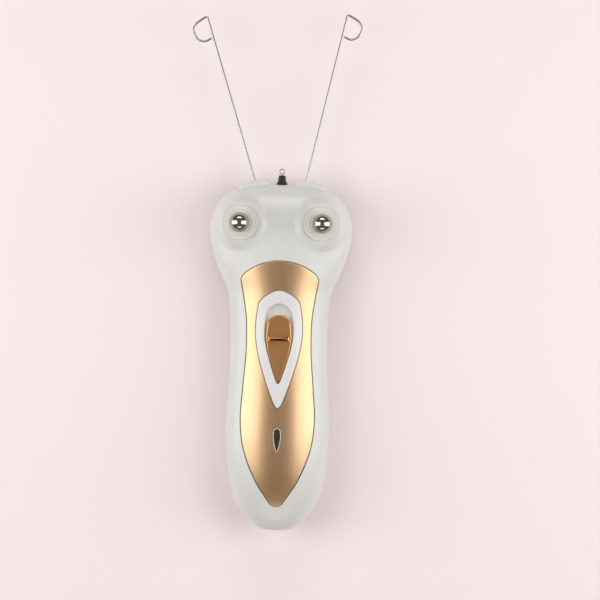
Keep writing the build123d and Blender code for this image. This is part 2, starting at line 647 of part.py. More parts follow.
gear_pitch_z = SEAM_Z - PINION_PITCH_RADIUS
gear_root_z = gear_pitch_z - TOOTH_DEPTH
gear = rod(CROWN_FACE[1], gear_root_z - GEAR_DISC_Z[0], (0, 0, GEAR_DISC_Z[0]))
gear = gear + rod(GEAR_HUB_RADIUS, GEAR_DISC_Z[0] - FRAME_Z[1] - MOVE_GAP, (0, 0, FRAME_Z[1] + MOVE_GAP))
for index in range(GEAR_TEETH):
    gear = gear + Rot(0, 0, 180 + 360 / GEAR_TEETH * (index + 0.5)) * tooth(*CROWN_FACE, gear_root_z)
gear = gear - rod(GEAR_PIN_RADIUS + RUN_GAP, GEAR_PIN_TOP_Z + 0.1, (0, 0, 0))
crank_x = LEVER_LENGTH * math.sin(math.radians(ARM_REST_LEAN))
crank_y = math.sqrt(CRANK_THROW**2 - crank_x**2)
gear = gear + rod(CRANK_PIN_RADIUS, YOKE_Z[1] + MOVE_GAP - gear_root_z, (crank_x, crank_y, gear_root_z))
put(Pos(0, GEAR_Y, 0) * gear, "crank_gear")
put(rod(GEAR_PIN_RADIUS, GEAR_PIN_TOP_Z - FRAME_Z[0], (0, GEAR_Y, FRAME_Z[0])), "gear_pin")

# ---------------------------------------------------------------- gear frame
frame = block(-FRAME_NARROW_HALF, FRAME_NARROW_HALF, FRAME_Y[0], FRAME_Y[1], *FRAME_Z)
frame = frame + block(-FRAME_WIDE_HALF, FRAME_WIDE_HALF, FRAME_Y[1], FRAME_Y[2], *FRAME_Z)
wall_y = MOTOR_Y[1] + FIXED_GAP
frame = frame + block(-FRAME_WALL_HALF, FRAME_WALL_HALF, wall_y, wall_y + FRAME_WALL_THICK, FRAME_Z[0], FRAME_WALL_TOP_Z)
frame = frame - rod(MOTOR_BOSS[0] + SEAT_GAP, 10, (0, MOTOR_Y[1] - 1, SEAM_Z), (0, 1, 0))
for x, y in PILLARS:
    for side in SIDES:
        frame = frame + rod(PILLAR_RADIUS, TOP_PLATE_Z[0] - FRAME_Z[0], (side * x, y, FRAME_Z[0]))
        frame = frame - rod(SMALL_SCREW_RADIUS + FIXED_GAP, 7, (side * x, y, TOP_PLATE_Z[0] - 6.5))
for x, y in FRAME_SCREWS:
    for side in SIDES:
        frame = frame - rod(SMALL_SCREW_RADIUS + 0.15, 10, (side * x, y, FRAME_Z[0] - 1))
pin_hole = POST_RADIUS + FIXED_GAP
for x, y in (ARM_PIVOT, GUIDE_POST):
    for side in SIDES:
        frame = frame - rod(pin_hole, 10, (side * x, y, FRAME_Z[0] - 1))
frame = frame - rod(GEAR_PIN_RADIUS + FIXED_GAP, 10, (0, GEAR_Y, FRAME_Z[0] - 1))
put(frame, "gear_frame")

top_plate = block(-FRAME_WIDE_HALF, FRAME_WIDE_HALF, *TOP_PLATE_Y, TOP_PLATE_Z[0] + FIXED_GAP, TOP_PLATE_Z[1])
for x, y in (ARM_PIVOT, GUIDE_POST):
    for side in SIDES:
        top_plate = top_plate - rod(pin_hole, 10, (side * x, y, TOP_PLATE_Z[0] - 1))
for x, y in PILLARS:
    for side in SIDES:
        top_plate = top_plate - rod(SMALL_SCREW_RADIUS + 0.15, 10, (side * x, y, TOP_PLATE_Z[0] - 1))
put(top_plate, "top_plate")


def stepped_pin(x, y, shoulder_top):
    """Pin through the frame and the top plate with a shoulder that carries the moving piece."""
    pin = rod(POST_RADIUS, TOP_PLATE_Z[1] - FRAME_Z[0], (x, y, FRAME_Z[0]))
    return pin + rod(POST_SHOULDER_RADIUS, shoulder_top - FRAME_Z[1] - FIXED_GAP, (x, y, FRAME_Z[1] + FIXED_GAP))


pivot_x, pivot_y = ARM_PIVOT
post_x, post_y = GUIDE_POST
put(Compound([stepped_pin(side * pivot_x, pivot_y, ROCKER_Z[0] - MOVE_GAP) for side in SIDES]), "rocker_pins")
put(Compound([stepped_pin(side * post_x, post_y, YOKE_Z[0] - MOVE_GAP) for side in SIDES]), "guide_posts")

# ---------------------------------------------------------------- yoke
lever_pin_y = pivot_y - LEVER_LENGTH
yoke = block(-9.8, 9.8, lever_pin_y - 2.6, lever_pin_y + 2.4, *YOKE_Z)
yoke = yoke + block(-15.2, 15.2, post_y - 2.2, post_y + 2.2, *YOKE_Z)
window_half = 2 * CRANK_THROW + CRANK_PIN_RADIUS + 0.1
window_rise = CRANK_THROW + CRANK_PIN_RADIUS + MOVE_GAP
yoke = yoke + block(-window_half - 2, window_half + 2, GEAR_Y - window_rise - 1.6, GEAR_Y + 5, *YOKE_Z)
yoke = yoke - block(-window_half, window_half, GEAR_Y - window_rise, GEAR_Y + window_rise, 0, 40)
lever_slot_half = LEVER_PIN_RADIUS + RUN_GAP
post_slot_half = CRANK_THROW + POST_RADIUS + MOVE_GAP
for side in SIDES:
    slot_x = side * pivot_x
    yoke = yoke - block(slot_x - lever_slot_half, slot_x + lever_slot_half, lever_pin_y - 1.4, lever_pin_y + 1.4, 0, 40)
    slot_x = side * post_x
    yoke = yoke - block(
        slot_x - post_slot_half,
        slot_x + post_slot_half,
        post_y - POST_RADIUS - RUN_GAP,
        post_y + POST_RADIUS + RUN_GAP,
        0,
        40,
    )
put(Pos(crank_x, 0, 0) * yoke, "drive_yoke")

# ---------------------------------------------------------------- rockers and wire arms


def arm_path():
    """Centre line from the socket up to the tip, round the hairpin and back through the eye."""
    straight_end = ARM_LENGTH - HAIRPIN_RADIUS
    turn = math.radians(180 - HAIRPIN_TURN)
    half_turn = math.radians(180 - HAIRPIN_TURN / 2)
    centre = (HAIRPIN_RADIUS, straight_end)
    turn_mid = (
        centre[0] + HAIRPIN_RADIUS * math.cos(half_turn),
        centre[1] + HAIRPIN_RADIUS * math.sin(half_turn),
    )
    turn_end = (centre[0] + HAIRPIN_RADIUS * math.cos(turn), centre[1] + HAIRPIN_RADIUS * math.sin(turn))
    leaving = (math.sin(turn), -math.cos(turn))
    straight = Line((0, WIRE_START), (0, straight_end))
    hairpin = ThreePointArc((0, straight_end), turn_mid, turn_end)
    eye = Spline(turn_end, *EYE_POINTS, tangents=[leaving, (-1, 0.35)])
    return Wire([straight, hairpin, eye])


path = arm_path()
wire_start = Plane(origin=(0, WIRE_START, 0), z_dir=(0, 1, 0))
wire = sweep(wire_start * Circle(WIRE_RADIUS), path=path, transition=Transition.ROUND)

rocker = rod(ROCKER_HUB_RADIUS, ROCKER_Z[1] - ROCKER_Z[0], (0, 0, ROCKER_Z[0] - SEAM_Z))
rocker = rocker + rod(SOCKET_RADIUS, SOCKET_LENGTH, (0, 0, 0), (0, 1, 0))
lever_top_z = ROCKER_Z[1] - SEAM_Z - 0.4
lever_low_z = ROCKER_LEVER_BOTTOM_Z - SEAM_Z
socket_side = rod(WIRE_RADIUS + FIXED_GAP, SOCKET_LENGTH, (0, WIRE_START - FIXED_GAP, 0), (0, 1, 0))
rocker = rocker - socket_side - rod(POST_RADIUS + RUN_GAP, 20, (0, 0, -10))
lever = block(-1.7, 1.7, -LEVER_LENGTH - 1.5, -POST_RADIUS - 0.5, lever_low_z, lever_top_z)
lever_pin = rod(LEVER_PIN_RADIUS, lever_low_z - (YOKE_Z[0] - 0.3 - SEAM_Z), (0, -LEVER_LENGTH, YOKE_Z[0] - 0.3 - SEAM_Z))
# local +X is outward on the right arm; the left one is its mirror image
for side, name in ((1, "right"), (-1, "left")):
    place = Pos(side * pivot_x, pivot_y, SEAM_Z) * Rot(0, 0, ARM_REST_LEAN - side * ARM_MID_ANGLE)
    if side > 0:
        rocker_piece = rocker + Rot(0, 0, ARM_MID_ANGLE) * (lever + lever_pin)
        wire_piece = wire
    else:
        rocker_piece = mirror(rocker + Rot(0, 0, ARM_MID_ANGLE) * (lever + lever_pin), about=Plane.YZ)
        wire_piece = mirror(wire, about=Plane.YZ)
    put(place * rocker_piece, f"{name}_rocker")
    put(place * wire_piece, f"{name}_arm")

# ---------------------------------------------------------------- slot covers
slot = block(*COVER_SLOT_X, 140, 160, SEAM_Z - COVER_SLOT_HALF, SEAM_Z + COVER_SLOT_HALF)
cover = cover_prism(0.0) - slot
put(cover, "right_slot_cover")
put(mirror(cover, about=Plane.YZ), "left_slot_cover")

# ---------------------------------------------------------------- thread hook
centre_line = [(0, HOOK_SHANK_Y - 0.4), (SLEEVE_PEG_RADIUS, HOOK_SHANK_Y - 0.4), (SLEEVE_PEG_RADIUS, SLEEVE_PROFILE[0][1])]
profile = Polyline(*(centre_line + SLEEVE_PROFILE + [(0, SLEEVE_PROFILE[-1][1])]), close=True)
sleeve = revolve(make_face(profile), axis=Axis.Y)
sleeve = Pos(0, 0, SEAM_Z) * sleeve - rod(HOOK_WIRE_RADIUS + FIXED_GAP, 20, (0, HOOK_SHANK_Y, SEAM_Z), (0, 1, 0))
put(sleeve, "hook_sleeve")
shank_end = HOOK_LOOP_Y - HOOK_LOOP_RADIUS
hook = rod(HOOK_WIRE_RADIUS, shank_end - HOOK_SHANK_Y, (0, HOOK_SHANK_Y, SEAM_Z), (0, 1, 0))
hook = hook + Pos(0, HOOK_LOOP_Y, SEAM_Z) * Torus(HOOK_LOOP_RADIUS, HOOK_WIRE_RADIUS)
put(hook, "thread_hook")

# ---------------------------------------------------------------- thread clamps
for side, name in ((1, "right"), (-1, "left")):
    frame_plane = knob_frame(side)
    lower_radius, lower_height = COLLAR_STEPS[0]
    upper_radius, upper_height = COLLAR_STEPS[1]
    lower = Pos(0, 0, lower_height / 2) * Cylinder(lower_radius, lower_height)
    lower = fillet(lower.edges().group_by(Axis.Z)[-1], 0.5)
    upper = Pos(0, 0, lower_height + upper_height / 2) * Cylinder(upper_radius, upper_height)
    upper = fillet(upper.edges().group_by(Axis.Z)[-1], 0.35)
    collar = lower + upper - Cylinder(STEM_RADIUS + 0.08, 20)
    put(frame_plane * Pos(0, 0, FIXED_GAP) * collar, f"{name}_collar")

    flat_z = lower_height + upper_height + KNOB_REST_GAP
    centre_z = flat_z + math.sqrt(KNOB_RADIUS**2 - KNOB_FLAT_RADIUS**2)
    ball = Pos(0, 0, centre_z) * Sphere(KNOB_RADIUS) - Pos(0, 0, flat_z - 5) * Box(20, 20, 10)
    stem = Pos(0, 0, (flat_z + 1 + KNOB_STEM_END) / 2) * Cylinder(STEM_RADIUS, flat_z + 1 - KNOB_STEM_END)
    groove_mid = (CLIP_Z[0] + CLIP_Z[1]) / 2
    groove_height = CLIP_Z[1] - CLIP_Z[0]
    groove = Pos(0, 0, groove_mid) * (Cylinder(3, groove_height) - Cylinder(CLIP_GROOVE_RADIUS, groove_height))
    put(frame_plane * (ball + stem - groove), f"{name}_knob")
    clip_height = groove_height - 2 * FIXED_GAP
    clip = Cylinder(CLIP_OUTER_RADIUS, clip_height) - Cylinder(CLIP_GROOVE_RADIUS + FIXED_GAP, clip_height)
    clip = clip - Pos(CLIP_OUTER_RADIUS, 0, 0) * Box(2 * CLIP_OUTER_RADIUS, 1.2, 2)
    put(frame_plane * Pos(0, 0, groove_mid) * clip, f"{name}_clip")
    spring_room = CLAMP_BOSS_END - CLIP_Z[1] - 2 * SPRING_WIRE_RADIUS - 0.1
    coil_start = CLIP_Z[1] + SPRING_WIRE_RADIUS + 0.05
    spring_frame = frame_plane * Pos(0, 0, coil_start)
    put(coil(spring_frame, SPRING_RADIUS, SPRING_WIRE_RADIUS, spring_room, SPRING_TURNS), f"{name}_spring")

# ---------------------------------------------------------------- motor leads
for side, name in ((1, "positive"), (-1, "negative")):
    start = (side * LEAD_X, END_CAP_Y - FIXED_GAP, 17.0)
    end = (side * LEAD_X, BOARD_Y[1] - 3.0, BOARD_BOTTOM_Z)
    lead_path = Spline(start, (side * LEAD_X, 80.6, 17.3), end, tangents=[(0, -1, 0), (0, 0, 1)])
    lead = sweep(Plane(origin=start, z_dir=(0, -1, 0)) * Circle(0.45), path=lead_path)
    put(lead, f"{name}_motor_lead")
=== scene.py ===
"""Looks of the cotton-thread epilator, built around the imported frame.

The device lies on its back: +X right, +Y toward the wire arms, +Z out of the front face.
Every visible piece is a closed mesh made from whole-array formulas, and lengths are in
millimetres until a mesh is written.
"""

import json
import logging
import math
from dataclasses import dataclass, field
from enum import Enum

import bmesh
import bpy
import numpy as np
from bpy.types import Material, Node, NodeSocket, NodeTree, Object
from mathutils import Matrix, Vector

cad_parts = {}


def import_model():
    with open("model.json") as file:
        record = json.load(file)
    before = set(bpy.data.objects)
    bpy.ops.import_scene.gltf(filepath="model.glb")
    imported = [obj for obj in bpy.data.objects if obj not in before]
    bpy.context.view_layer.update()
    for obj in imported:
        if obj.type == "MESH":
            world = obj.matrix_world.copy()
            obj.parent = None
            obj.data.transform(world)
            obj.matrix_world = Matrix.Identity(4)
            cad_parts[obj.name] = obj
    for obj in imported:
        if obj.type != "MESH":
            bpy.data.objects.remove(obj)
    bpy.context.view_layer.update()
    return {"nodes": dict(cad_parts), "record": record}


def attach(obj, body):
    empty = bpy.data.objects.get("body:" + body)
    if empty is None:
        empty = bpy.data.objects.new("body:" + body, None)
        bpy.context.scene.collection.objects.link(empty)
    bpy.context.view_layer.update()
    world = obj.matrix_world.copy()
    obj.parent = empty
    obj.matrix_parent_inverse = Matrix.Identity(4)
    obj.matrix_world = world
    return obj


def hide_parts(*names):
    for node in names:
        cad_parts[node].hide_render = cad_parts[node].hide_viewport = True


Pair = tuple[float, float]
Triple = tuple[float, float, float]

LOG = logging.getLogger("epilator")
MM = 0.001
ORIGIN_Y = 82.0
SEAM_Z = 15.5
SIDES = {"right": 1.0, "left": -1.0}
SHADE_ANGLE = math.radians(32)
RIGHT, ALONG, UP = np.eye(3)
AXIS_GAP = 1e-4
WIRE_FACETS = 20
CORNER_POINTS = 6
SEAT_GAP = 0.05
COVER_HALF_DEPTH = 5.75
CUT_LOW, CUT_HIGH = 20.0, 40.0
WHOLE_LENGTH = (-999.0, 999.0)


# --- curves


def smooth_curve(points: np.ndarray, samples: int) -> np.ndarray:
    """Samples a smooth open curve through control points.

    Each span is the cubic whose end slopes are half the difference of its neighbours.

    Args:
        points: control points, one per row.
        samples: number of samples per span.

    Returns:
        The sampled points, one per row.
    """
    first = 2 * points[0] - points[1]
    last = 2 * points[-1] - points[-2]
    padded = np.vstack([first, points, last])
    p0, p1, p2, p3 = padded[:-3], padded[1:-2], padded[2:-1], padded[3:]
    t = np.linspace(0, 1, samples, endpoint=False)[None, :, None]
    p0, p1, p2, p3 = (p[:, None, :] for p in (p0, p1, p2, p3))
    curve = 0.5 * (
        2 * p1 + (p2 - p0) * t + (2 * p0 - 5 * p1 + 4 * p2 - p3) * t**2 + (3 * p1 - p0 - 3 * p2 + p3) * t**3
    )
    return np.vstack([curve.reshape(-1, points.shape[1]), points[-1:]])


def resampled(points: np.ndarray, count: int) -> np.ndarray:
    """Spaces points evenly along a polyline.

    Args:
        points: polyline, one point per row.
        count: number of points wanted.

    Returns:
        The evenly spaced points.
    """
    steps = np.linalg.norm(np.diff(points, axis=0), axis=1)
    along = np.concatenate([[0.0], np.cumsum(steps)])
    wanted = np.linspace(0, along[-1], count)
    return np.stack([np.interp(wanted, along, points[:, k]) for k in range(points.shape[1])], axis=1)


def outward(points: np.ndarray) -> np.ndarray:
    """Unit outward normals of a closed clockwise outline.

    Args:
        points: outline in the plane, one point per row.

    Returns:
        One unit normal per point: the chord between its neighbours turned a quarter left.
    """
    chord = np.roll(points, -1, axis=0) - np.roll(points, 1, axis=0)
    normal = np.stack([-chord[:, 1], chord[:, 0]], axis=1)
    return normal / np.maximum(np.linalg.norm(normal, axis=1, keepdims=True), 1e-9)


def mirrored(right: np.ndarray) -> np.ndarray:
    """Closes a right-hand half outline with its mirror image.

    Args:
        right: points from the top of the centre line clockwise down to its bottom.

    Returns:
        The closed clockwise outline.
    """
    return np.vstack([right, (right * [-1, 1])[-2:0:-1]])


# --- meshes


@dataclass
class MeshData:
    """Vertices and faces collected before a Blender mesh is made."""

    vertices: list[np.ndarray] = field(default_factory=list)
    faces: list[np.ndarray] = field(default_factory=list)
    count: int = 0

    def grid(self, points: np.ndarray, wrap_rows: bool = False, wrap_columns: bool = False) -> None:
        """Adds a grid of quads.

        Args:
            points: array rows x columns x 3.
            wrap_rows: joins the last row to the first.
            wrap_columns: joins the last column to the first.
        """
        rows, columns = points.shape[:2]
        index = np.arange(rows * columns).reshape(rows, columns) + self.count
        if wrap_rows:
            index = np.vstack([index, index[:1]])
        if wrap_columns:
            index = np.hstack([index, index[:, :1]])
        quads = np.stack([index[:-1, :-1], index[:-1, 1:], index[1:, 1:], index[1:, :-1]], axis=-1)
        self.vertices.append(points.reshape(-1, 3))
        self.faces.append(quads.reshape(-1, 4))
        self.count += rows * columns

    def add(self, other: "MeshData") -> None:
        """Joins another closed surface to this one.

        Args:
            other: the surface to add.
        """
        self.vertices += other.vertices
        self.faces += [face + self.count for face in other.faces]
        self.count += other.count

    def build(self, name: str, smooth: bool = True) -> Object:
        """Writes the collected faces to a Blender object at the origin.

        Args:
            name: object name.
            smooth: shades smooth with sharp edges kept where faces meet steeply.

        Returns:
            The new object, its doubled points merged and its faces turned outward.
        """
        mesh = bpy.data.meshes.new(name)
        vertices = (np.concatenate(self.vertices) - [0, ORIGIN_Y, 0]) * MM
        faces = np.concatenate(self.faces)
        mesh.from_pydata(vertices.tolist(), [], faces.tolist())
        obj = bpy.data.objects.new(name, mesh)
        bpy.context.scene.collection.objects.link(obj)
        clean_mesh(obj)
        if smooth:
            shade(obj)
        return obj


def clean_mesh(obj: Object) -> None:
    """Merges doubled points and turns faces outward.

    Args:
        obj: mesh object to tidy.
    """
    work = bmesh.new()
    work.from_mesh(obj.data)
    bmesh.ops.remove_doubles(work, verts=work.verts, dist=2e-6)
    bmesh.ops.dissolve_degenerate(work, edges=work.edges, dist=1e-6)
    bmesh.ops.holes_fill(work, edges=[e for e in work.edges if e.is_boundary])
    bmesh.ops.recalc_face_normals(work, faces=work.faces)
    work.to_mesh(obj.data)
    work.free()


def shade(obj: Object) -> None:
    """Shades smooth and marks the steep edges sharp.

    Args:
        obj: mesh object to shade.
    """
    mesh = obj.data
    mesh.shade_smooth()
    mesh.set_sharp_from_angle(angle=SHADE_ANGLE)


def cut(obj: Object, cutters: list[Object]) -> Object:
    """Removes closed cutter meshes from a closed mesh and deletes the cutters.

    Args:
        obj: mesh to cut.
        cutters: closed meshes to take away.

    Returns:
        The cut object.
    """
    for cutter in cutters:
        modifier = obj.modifiers.new("cut", "BOOLEAN")
        modifier.operation = "DIFFERENCE"
        modifier.solver = "EXACT"
        modifier.object = cutter
    graph = bpy.context.evaluated_depsgraph_get()
    result = bpy.data.meshes.new_from_object(obj.evaluated_get(graph))
    obj.modifiers.clear()
    obj.data = result
    for cutter in cutters:
        bpy.data.objects.remove(cutter)
    shade(obj)
    return obj


def revolve(profile: np.ndarray, steps: int) -> MeshData:
    """Turns a profile round the local Z axis.

    Args:
        profile: closed loop of (radius, height) pairs.
        steps: facets round the axis.

    Returns:
        The closed surface: each profile point swept through a full circle.
    """
    angle = np.linspace(0, 2 * np.pi, steps, endpoint=False)
    radius, height = profile[:, 0][:, None], profile[:, 1][:, None]
    level = np.broadcast_to(height, (len(profile), steps))
    points = np.stack([radius * np.cos(angle), radius * np.sin(angle), level], axis=-1)
    data = MeshData()
    data.grid(points, wrap_rows=True, wrap_columns=True)
    return data


def placed(data: MeshData, origin: np.ndarray, x_axis: np.ndarray, z_axis: np.ndarray) -> MeshData:
    """Moves collected points from a local frame to the row frame.

    Args:
        data: points in the local frame.
        origin: where the local origin goes.
        x_axis: direction of local X.
        z_axis: direction of local Z.

    Returns:
        The same data with its points moved.
    """
    z_axis = z_axis / np.linalg.norm(z_axis)
    x_axis = x_axis - z_axis * np.dot(x_axis, z_axis)
    x_axis = x_axis / np.linalg.norm(x_axis)
    axes = np.stack([x_axis, np.cross(z_axis, x_axis), z_axis])
    data.vertices = [v @ axes + origin for v in data.vertices]
    return data


def tube(path: np.ndarray, radius: float) -> MeshData:
    """Round bar along a path that lies in a plane of constant Z.

    Args:
        path: centre line, one point per row.
        radius: bar radius.

    Returns:
        A closed tube: at each point a circle spanned by the in-plane normal and Z, its ends
        rounded.
    """
    tangent = np.gradient(path, axis=0)
    tangent /= np.linalg.norm(tangent, axis=1, keepdims=True)
    normal = np.stack([-tangent[:, 1], tangent[:, 0], np.zeros(len(path))], axis=1)
    cap = np.linspace(0, np.pi / 2, 6)[:-1]
    start = path[0] - tangent[0] * (radius * np.cos(cap))[:, None]
    end = path[-1] + tangent[-1] * (radius * np.cos(cap[::-1]))[:, None]
    centres = np.vstack([start, path, end])
    sizes = radius * np.concatenate([np.sin(cap), np.ones(len(path)), np.sin(cap[::-1])])
    sizes = np.maximum(sizes, AXIS_GAP)[:, None, None]
    normals = np.pad(normal, ((len(cap), len(cap)), (0, 0)), mode="edge")[:, None, :]
    angle = np.linspace(0, 2 * np.pi, WIRE_FACETS, endpoint=False)[None, :, None]
    data = MeshData()
    data.grid(centres[:, None, :] + (np.cos(angle) * normals + np.sin(angle) * UP) * sizes, wrap_columns=True)
    return data


def rounded_loop(corners: list[Triple]) -> np.ndarray:
    """Closed profile with rounded corners.

    Args:
        corners: (radius from axis, height, corner rounding) in order round the loop.

    Returns:
        The loop: each corner is replaced by a quadratic curve that is tangent to both its sides.
    """
    array = np.array(corners)
    points, rounding = array[:, :2], array[:, 2:]
    before, after = np.roll(points, 1, axis=0) - points, np.roll(points, -1, axis=0) - points
    before /= np.maximum(np.linalg.norm(before, axis=1, keepdims=True), 1e-9)
    after /= np.maximum(np.linalg.norm(after, axis=1, keepdims=True), 1e-9)
    t = np.linspace(0, 1, CORNER_POINTS)[None, :, None]
    start, end = (points + before * rounding)[:, None], (points + after * rounding)[:, None]
    curve = (1 - t) ** 2 * start + 2 * t * (1 - t) * points[:, None] + t**2 * end
    return curve.reshape(-1, 2)


# --- housing shape


@dataclass(frozen=True)
class BodyShape:
    """Oval cross-sections of the housing along its length."""

    roundness: float = 2.2
    length: float = 152.6
    knob_place: Triple = (17.5, 135.2, 31.0)
    knob_tilt: float = 5.0
    mound_inner: float = 8.3
    mound_outer: float = 12.6
    stations: tuple[tuple[float, float, float, float], ...] = (
        (0.0, 5.0, 5.0, 5.0), (0.9, 8.0, 6.6, 6.9), (4.0, 12.3, 9.3, 9.9),
        (8.6, 16.2, 11.4, 12.2), (15.2, 19.4, 13.3, 14.2), (24.0, 21.4, 14.7, 15.6),
        (35.9, 22.7, 15.5, 16.1), (48.0, 22.9, 15.6, 16.1), (64.0, 22.0, 15.1, 16.1),
        (80.0, 21.6, 14.6, 16.1), (95.0, 21.8, 14.5, 16.1), (104.5, 22.9, 14.7, 16.1),
        (112.0, 26.0, 15.1, 16.1), (119.0, 29.0, 15.4, 16.1), (127.0, 31.0, 15.5, 16.1),
        (135.0, 31.4, 15.4, 16.1), (141.5, 29.7, 14.5, 15.4), (146.2, 26.6, 12.6, 13.6),
        (149.4, 22.6, 10.4, 11.4), (151.2, 18.2, 8.4, 9.2), (152.2, 13.4, 6.4, 6.8),
        (152.6, 9.0, 4.6, 4.8),
    )

    def sections(self) -> np.ndarray:
        """Dense table of y, half width, front height and back depth.

        Returns:
            The stations joined by a smooth curve.
        """
        return smooth_curve(np.array(self.stations), 24)

    def height(self, x: np.ndarray, y: np.ndarray, raised: float = 0.0) -> np.ndarray:
        """Front surface height over the XY plane.

        Args:
            x: across positions.
            y: along positions.
            raised: how far outside the surface.

        Returns:
            z from the oval: seam height plus h times (1 - |x/w|^n)^(1/n).
        """
        table = self.sections()
        half = np.interp(y, table[:, 0], table[:, 1]) + raised
        rise = np.interp(y, table[:, 0], table[:, 2]) + raised
        share = np.clip(1 - np.abs(x / half) ** self.roundness, 0, 1)
        return SEAM_Z + rise * share ** (1 / self.roundness)

    def with_mounds(self, points: np.ndarray) -> np.ndarray:
        """Raises the two clamp mounds out of a front surface.

        Args:
            points: surface points, last axis x, y, z.

        Returns:
            The points blended into a tilted disc round each knob, full inside the mound's
            top radius and fading with a smooth step to nothing at its foot.
        """
        x0, y0, z0 = self.knob_place
        across = np.abs(points[..., 0])
        distance = np.hypot(across - x0, points[..., 1] - y0)
        fade = np.clip((self.mound_outer - distance) / (self.mound_outer - self.mound_inner), 0, 1)
        weight = fade * fade * (3 - 2 * fade)
        disc = z0 - (across - x0) * math.tan(math.radians(self.knob_tilt))
        lifted = np.maximum(points[..., 2], disc)
        out = points.copy()
        out[..., 2] = points[..., 2] + weight * (lifted - points[..., 2])
        return out


BODY = BodyShape()


def front_surface(inset: float, rows: int, columns: int) -> np.ndarray:
    """Front half of the housing's oval surface.

    Args:
        inset: distance inside the outer surface.
        rows: sections along the body.
        columns: points across each section.

    Returns:
        Grid of points: x = w c^(2/n), z = seam plus h s^(2/n) for c, s the cosine and sine
        of an angle that runs over half a turn, its length squeezed by the inset.
    """
    table = resampled(BODY.sections(), rows)
    middle = BODY.length / 2
    along = middle + (table[:, 0] - middle) * (middle - inset) / middle
    half = (table[:, 1] - inset)[:, None]
    rise = (table[:, 2] - inset)[:, None]
    angle = np.linspace(0, np.pi, columns)[None, :]
    power = 2 / BODY.roundness
    x = half * np.sign(np.cos(angle)) * np.abs(np.cos(angle)) ** power
    z = SEAM_Z + rise * np.abs(np.sin(angle)) ** power
    y = np.broadcast_to(along[:, None], x.shape)
    grid = np.stack([x, y, z], axis=-1)
    return BODY.with_mounds(grid) if inset == 0 else grid


# --- outlines

TEARDROP = ((0.075, 0.76), (0.19, 0.94), (0.36, 1.0), (0.55, 0.86), (0.75, 0.56), (0.9, 0.29), (0.975, 0.13))
OUTLINE_HALF = 90
BEZEL_SPAN, BEZEL_WIDTH = (54.3, 105.8), 20.5
WINDOW_SPAN, WINDOW_WIDTH = (35.4, 45.3), 2.9
PLATE_SPINE = (24.0, 100.0)


def right_half(points: np.ndarray, count: int = OUTLINE_HALF) -> np.ndarray:
    """Smooth right-hand half of a symmetric outline.

    Args:
        points: control points from the top of the centre line clockwise to its bottom.
        count: number of samples.

    Returns:
        Evenly spaced points of the spline that meets its mirror image without a corner.
    """
    before, after = points[1] * [-1, 1], points[-2] * [-1, 1]
    curve = smooth_curve(np.vstack([before, points, after]), 24)[24:-24]
    return resampled(curve, count)


def teardrop(span: Pair, width: float, grow: float = 0.0) -> np.ndarray:
    """Closed drop outline, blunt toward the arms and pointed toward the charging end.

    Args:
        span: lowest and highest position along the body.
        width: full width.
        grow: distance moved outward.

    Returns:
        Clockwise outline from the middle of the blunt end.
    """
    low, high = span
    shares = np.array(TEARDROP)
    side = np.stack([width / 2 * shares[:, 1], high - shares[:, 0] * (high - low)], axis=1)
    outline = mirrored(right_half(np.vstack([[0, high], side, [0, low]])))
    return outline + grow * outward(outline)


def plate_outline(grow: float = 0.0) -> np.ndarray:
    """Closed outline of the faceplate.

    Args:
        grow: distance moved outward.

    Returns:
        Clockwise outline from the middle of the top edge: an arc, a rounded shoulder, the
        waisted side and the round tip.
    """
    chord_x, chord_y, top = 17.3, 111.4, 118.8
    sagitta = top - chord_y
    radius = (chord_x**2 + sagitta**2) / (2 * sagitta)
    across = np.linspace(0, 15.6, 12)
    arc = np.stack([across, top - radius + np.sqrt(radius**2 - across**2)], axis=1)
    side = [(16.55, 111.55), (16.95, 110.6), (16.85, 109.4), (16.2, 106.0), (15.5, 102.0), (14.2, 92.0)]
    side += [(14.2, 78.0), (15.4, 62.5), (16.2, 49.0), (14.6, 36.0), (9.6, 23.0), (3.6, 13.7)]
    side += [(1.9, 11.75), (0, 11.2)]
    outline = mirrored(right_half(np.vstack([arc, side]), 220))
    return outline + grow * outward(outline)


def cover_outline(grow: float = 0.0) -> np.ndarray:
    """Closed outline of the right slot cover.

    Args:
        grow: distance moved outward.

    Returns:
        Clockwise outline of the humped block the arm comes out of.
    """
    hump = [(5.2, 151.4), (5.9, 154.2), (8.2, 154.9), (13.0, 154.1), (18.2, 152.6), (19.0, 150.6)]
    top = smooth_curve(np.array(hump), 12)
    outline = np.vstack([[(5.2, 148.6)], [(5.2, 150.0)], top, [(19.0, 148.6)]])
    return outline + grow * outward(outline)


# --- solids from outlines


@dataclass(frozen=True)
class Ring:
    """One ring of a domed solid: how far in from the outline, and how high."""

    inset: float = 0.0
    share: float = 1.0
    level: float | None = None
    raised: float = 0.0


def ring_points(outline: np.ndarray, spine: Pair, ring: Ring) -> np.ndarray:
    """Points of one ring.

    Args:
        outline: clockwise outline.
        spine: lowest and highest position of the centre line the rings shrink toward.
        ring: the ring's inset, share of the way out from the spine, and height.

    Returns:
        p = c + share (outline - inset n - c), with c the nearest spine point, at a fixed
        level or lifted off the housing's front surface.
    """
    flat = outline - ring.inset * outward(outline)
    centre = np.stack([np.zeros(len(flat)), np.clip(flat[:, 1], *spine)], axis=1)
    flat = centre + ring.share * (flat - centre)
    if ring.level is None:
        z = BODY.height(flat[:, 0], flat[:, 1], ring.raised)
    else:
        z = np.full(len(flat), ring.level)
    return np.column_stack([flat, z])


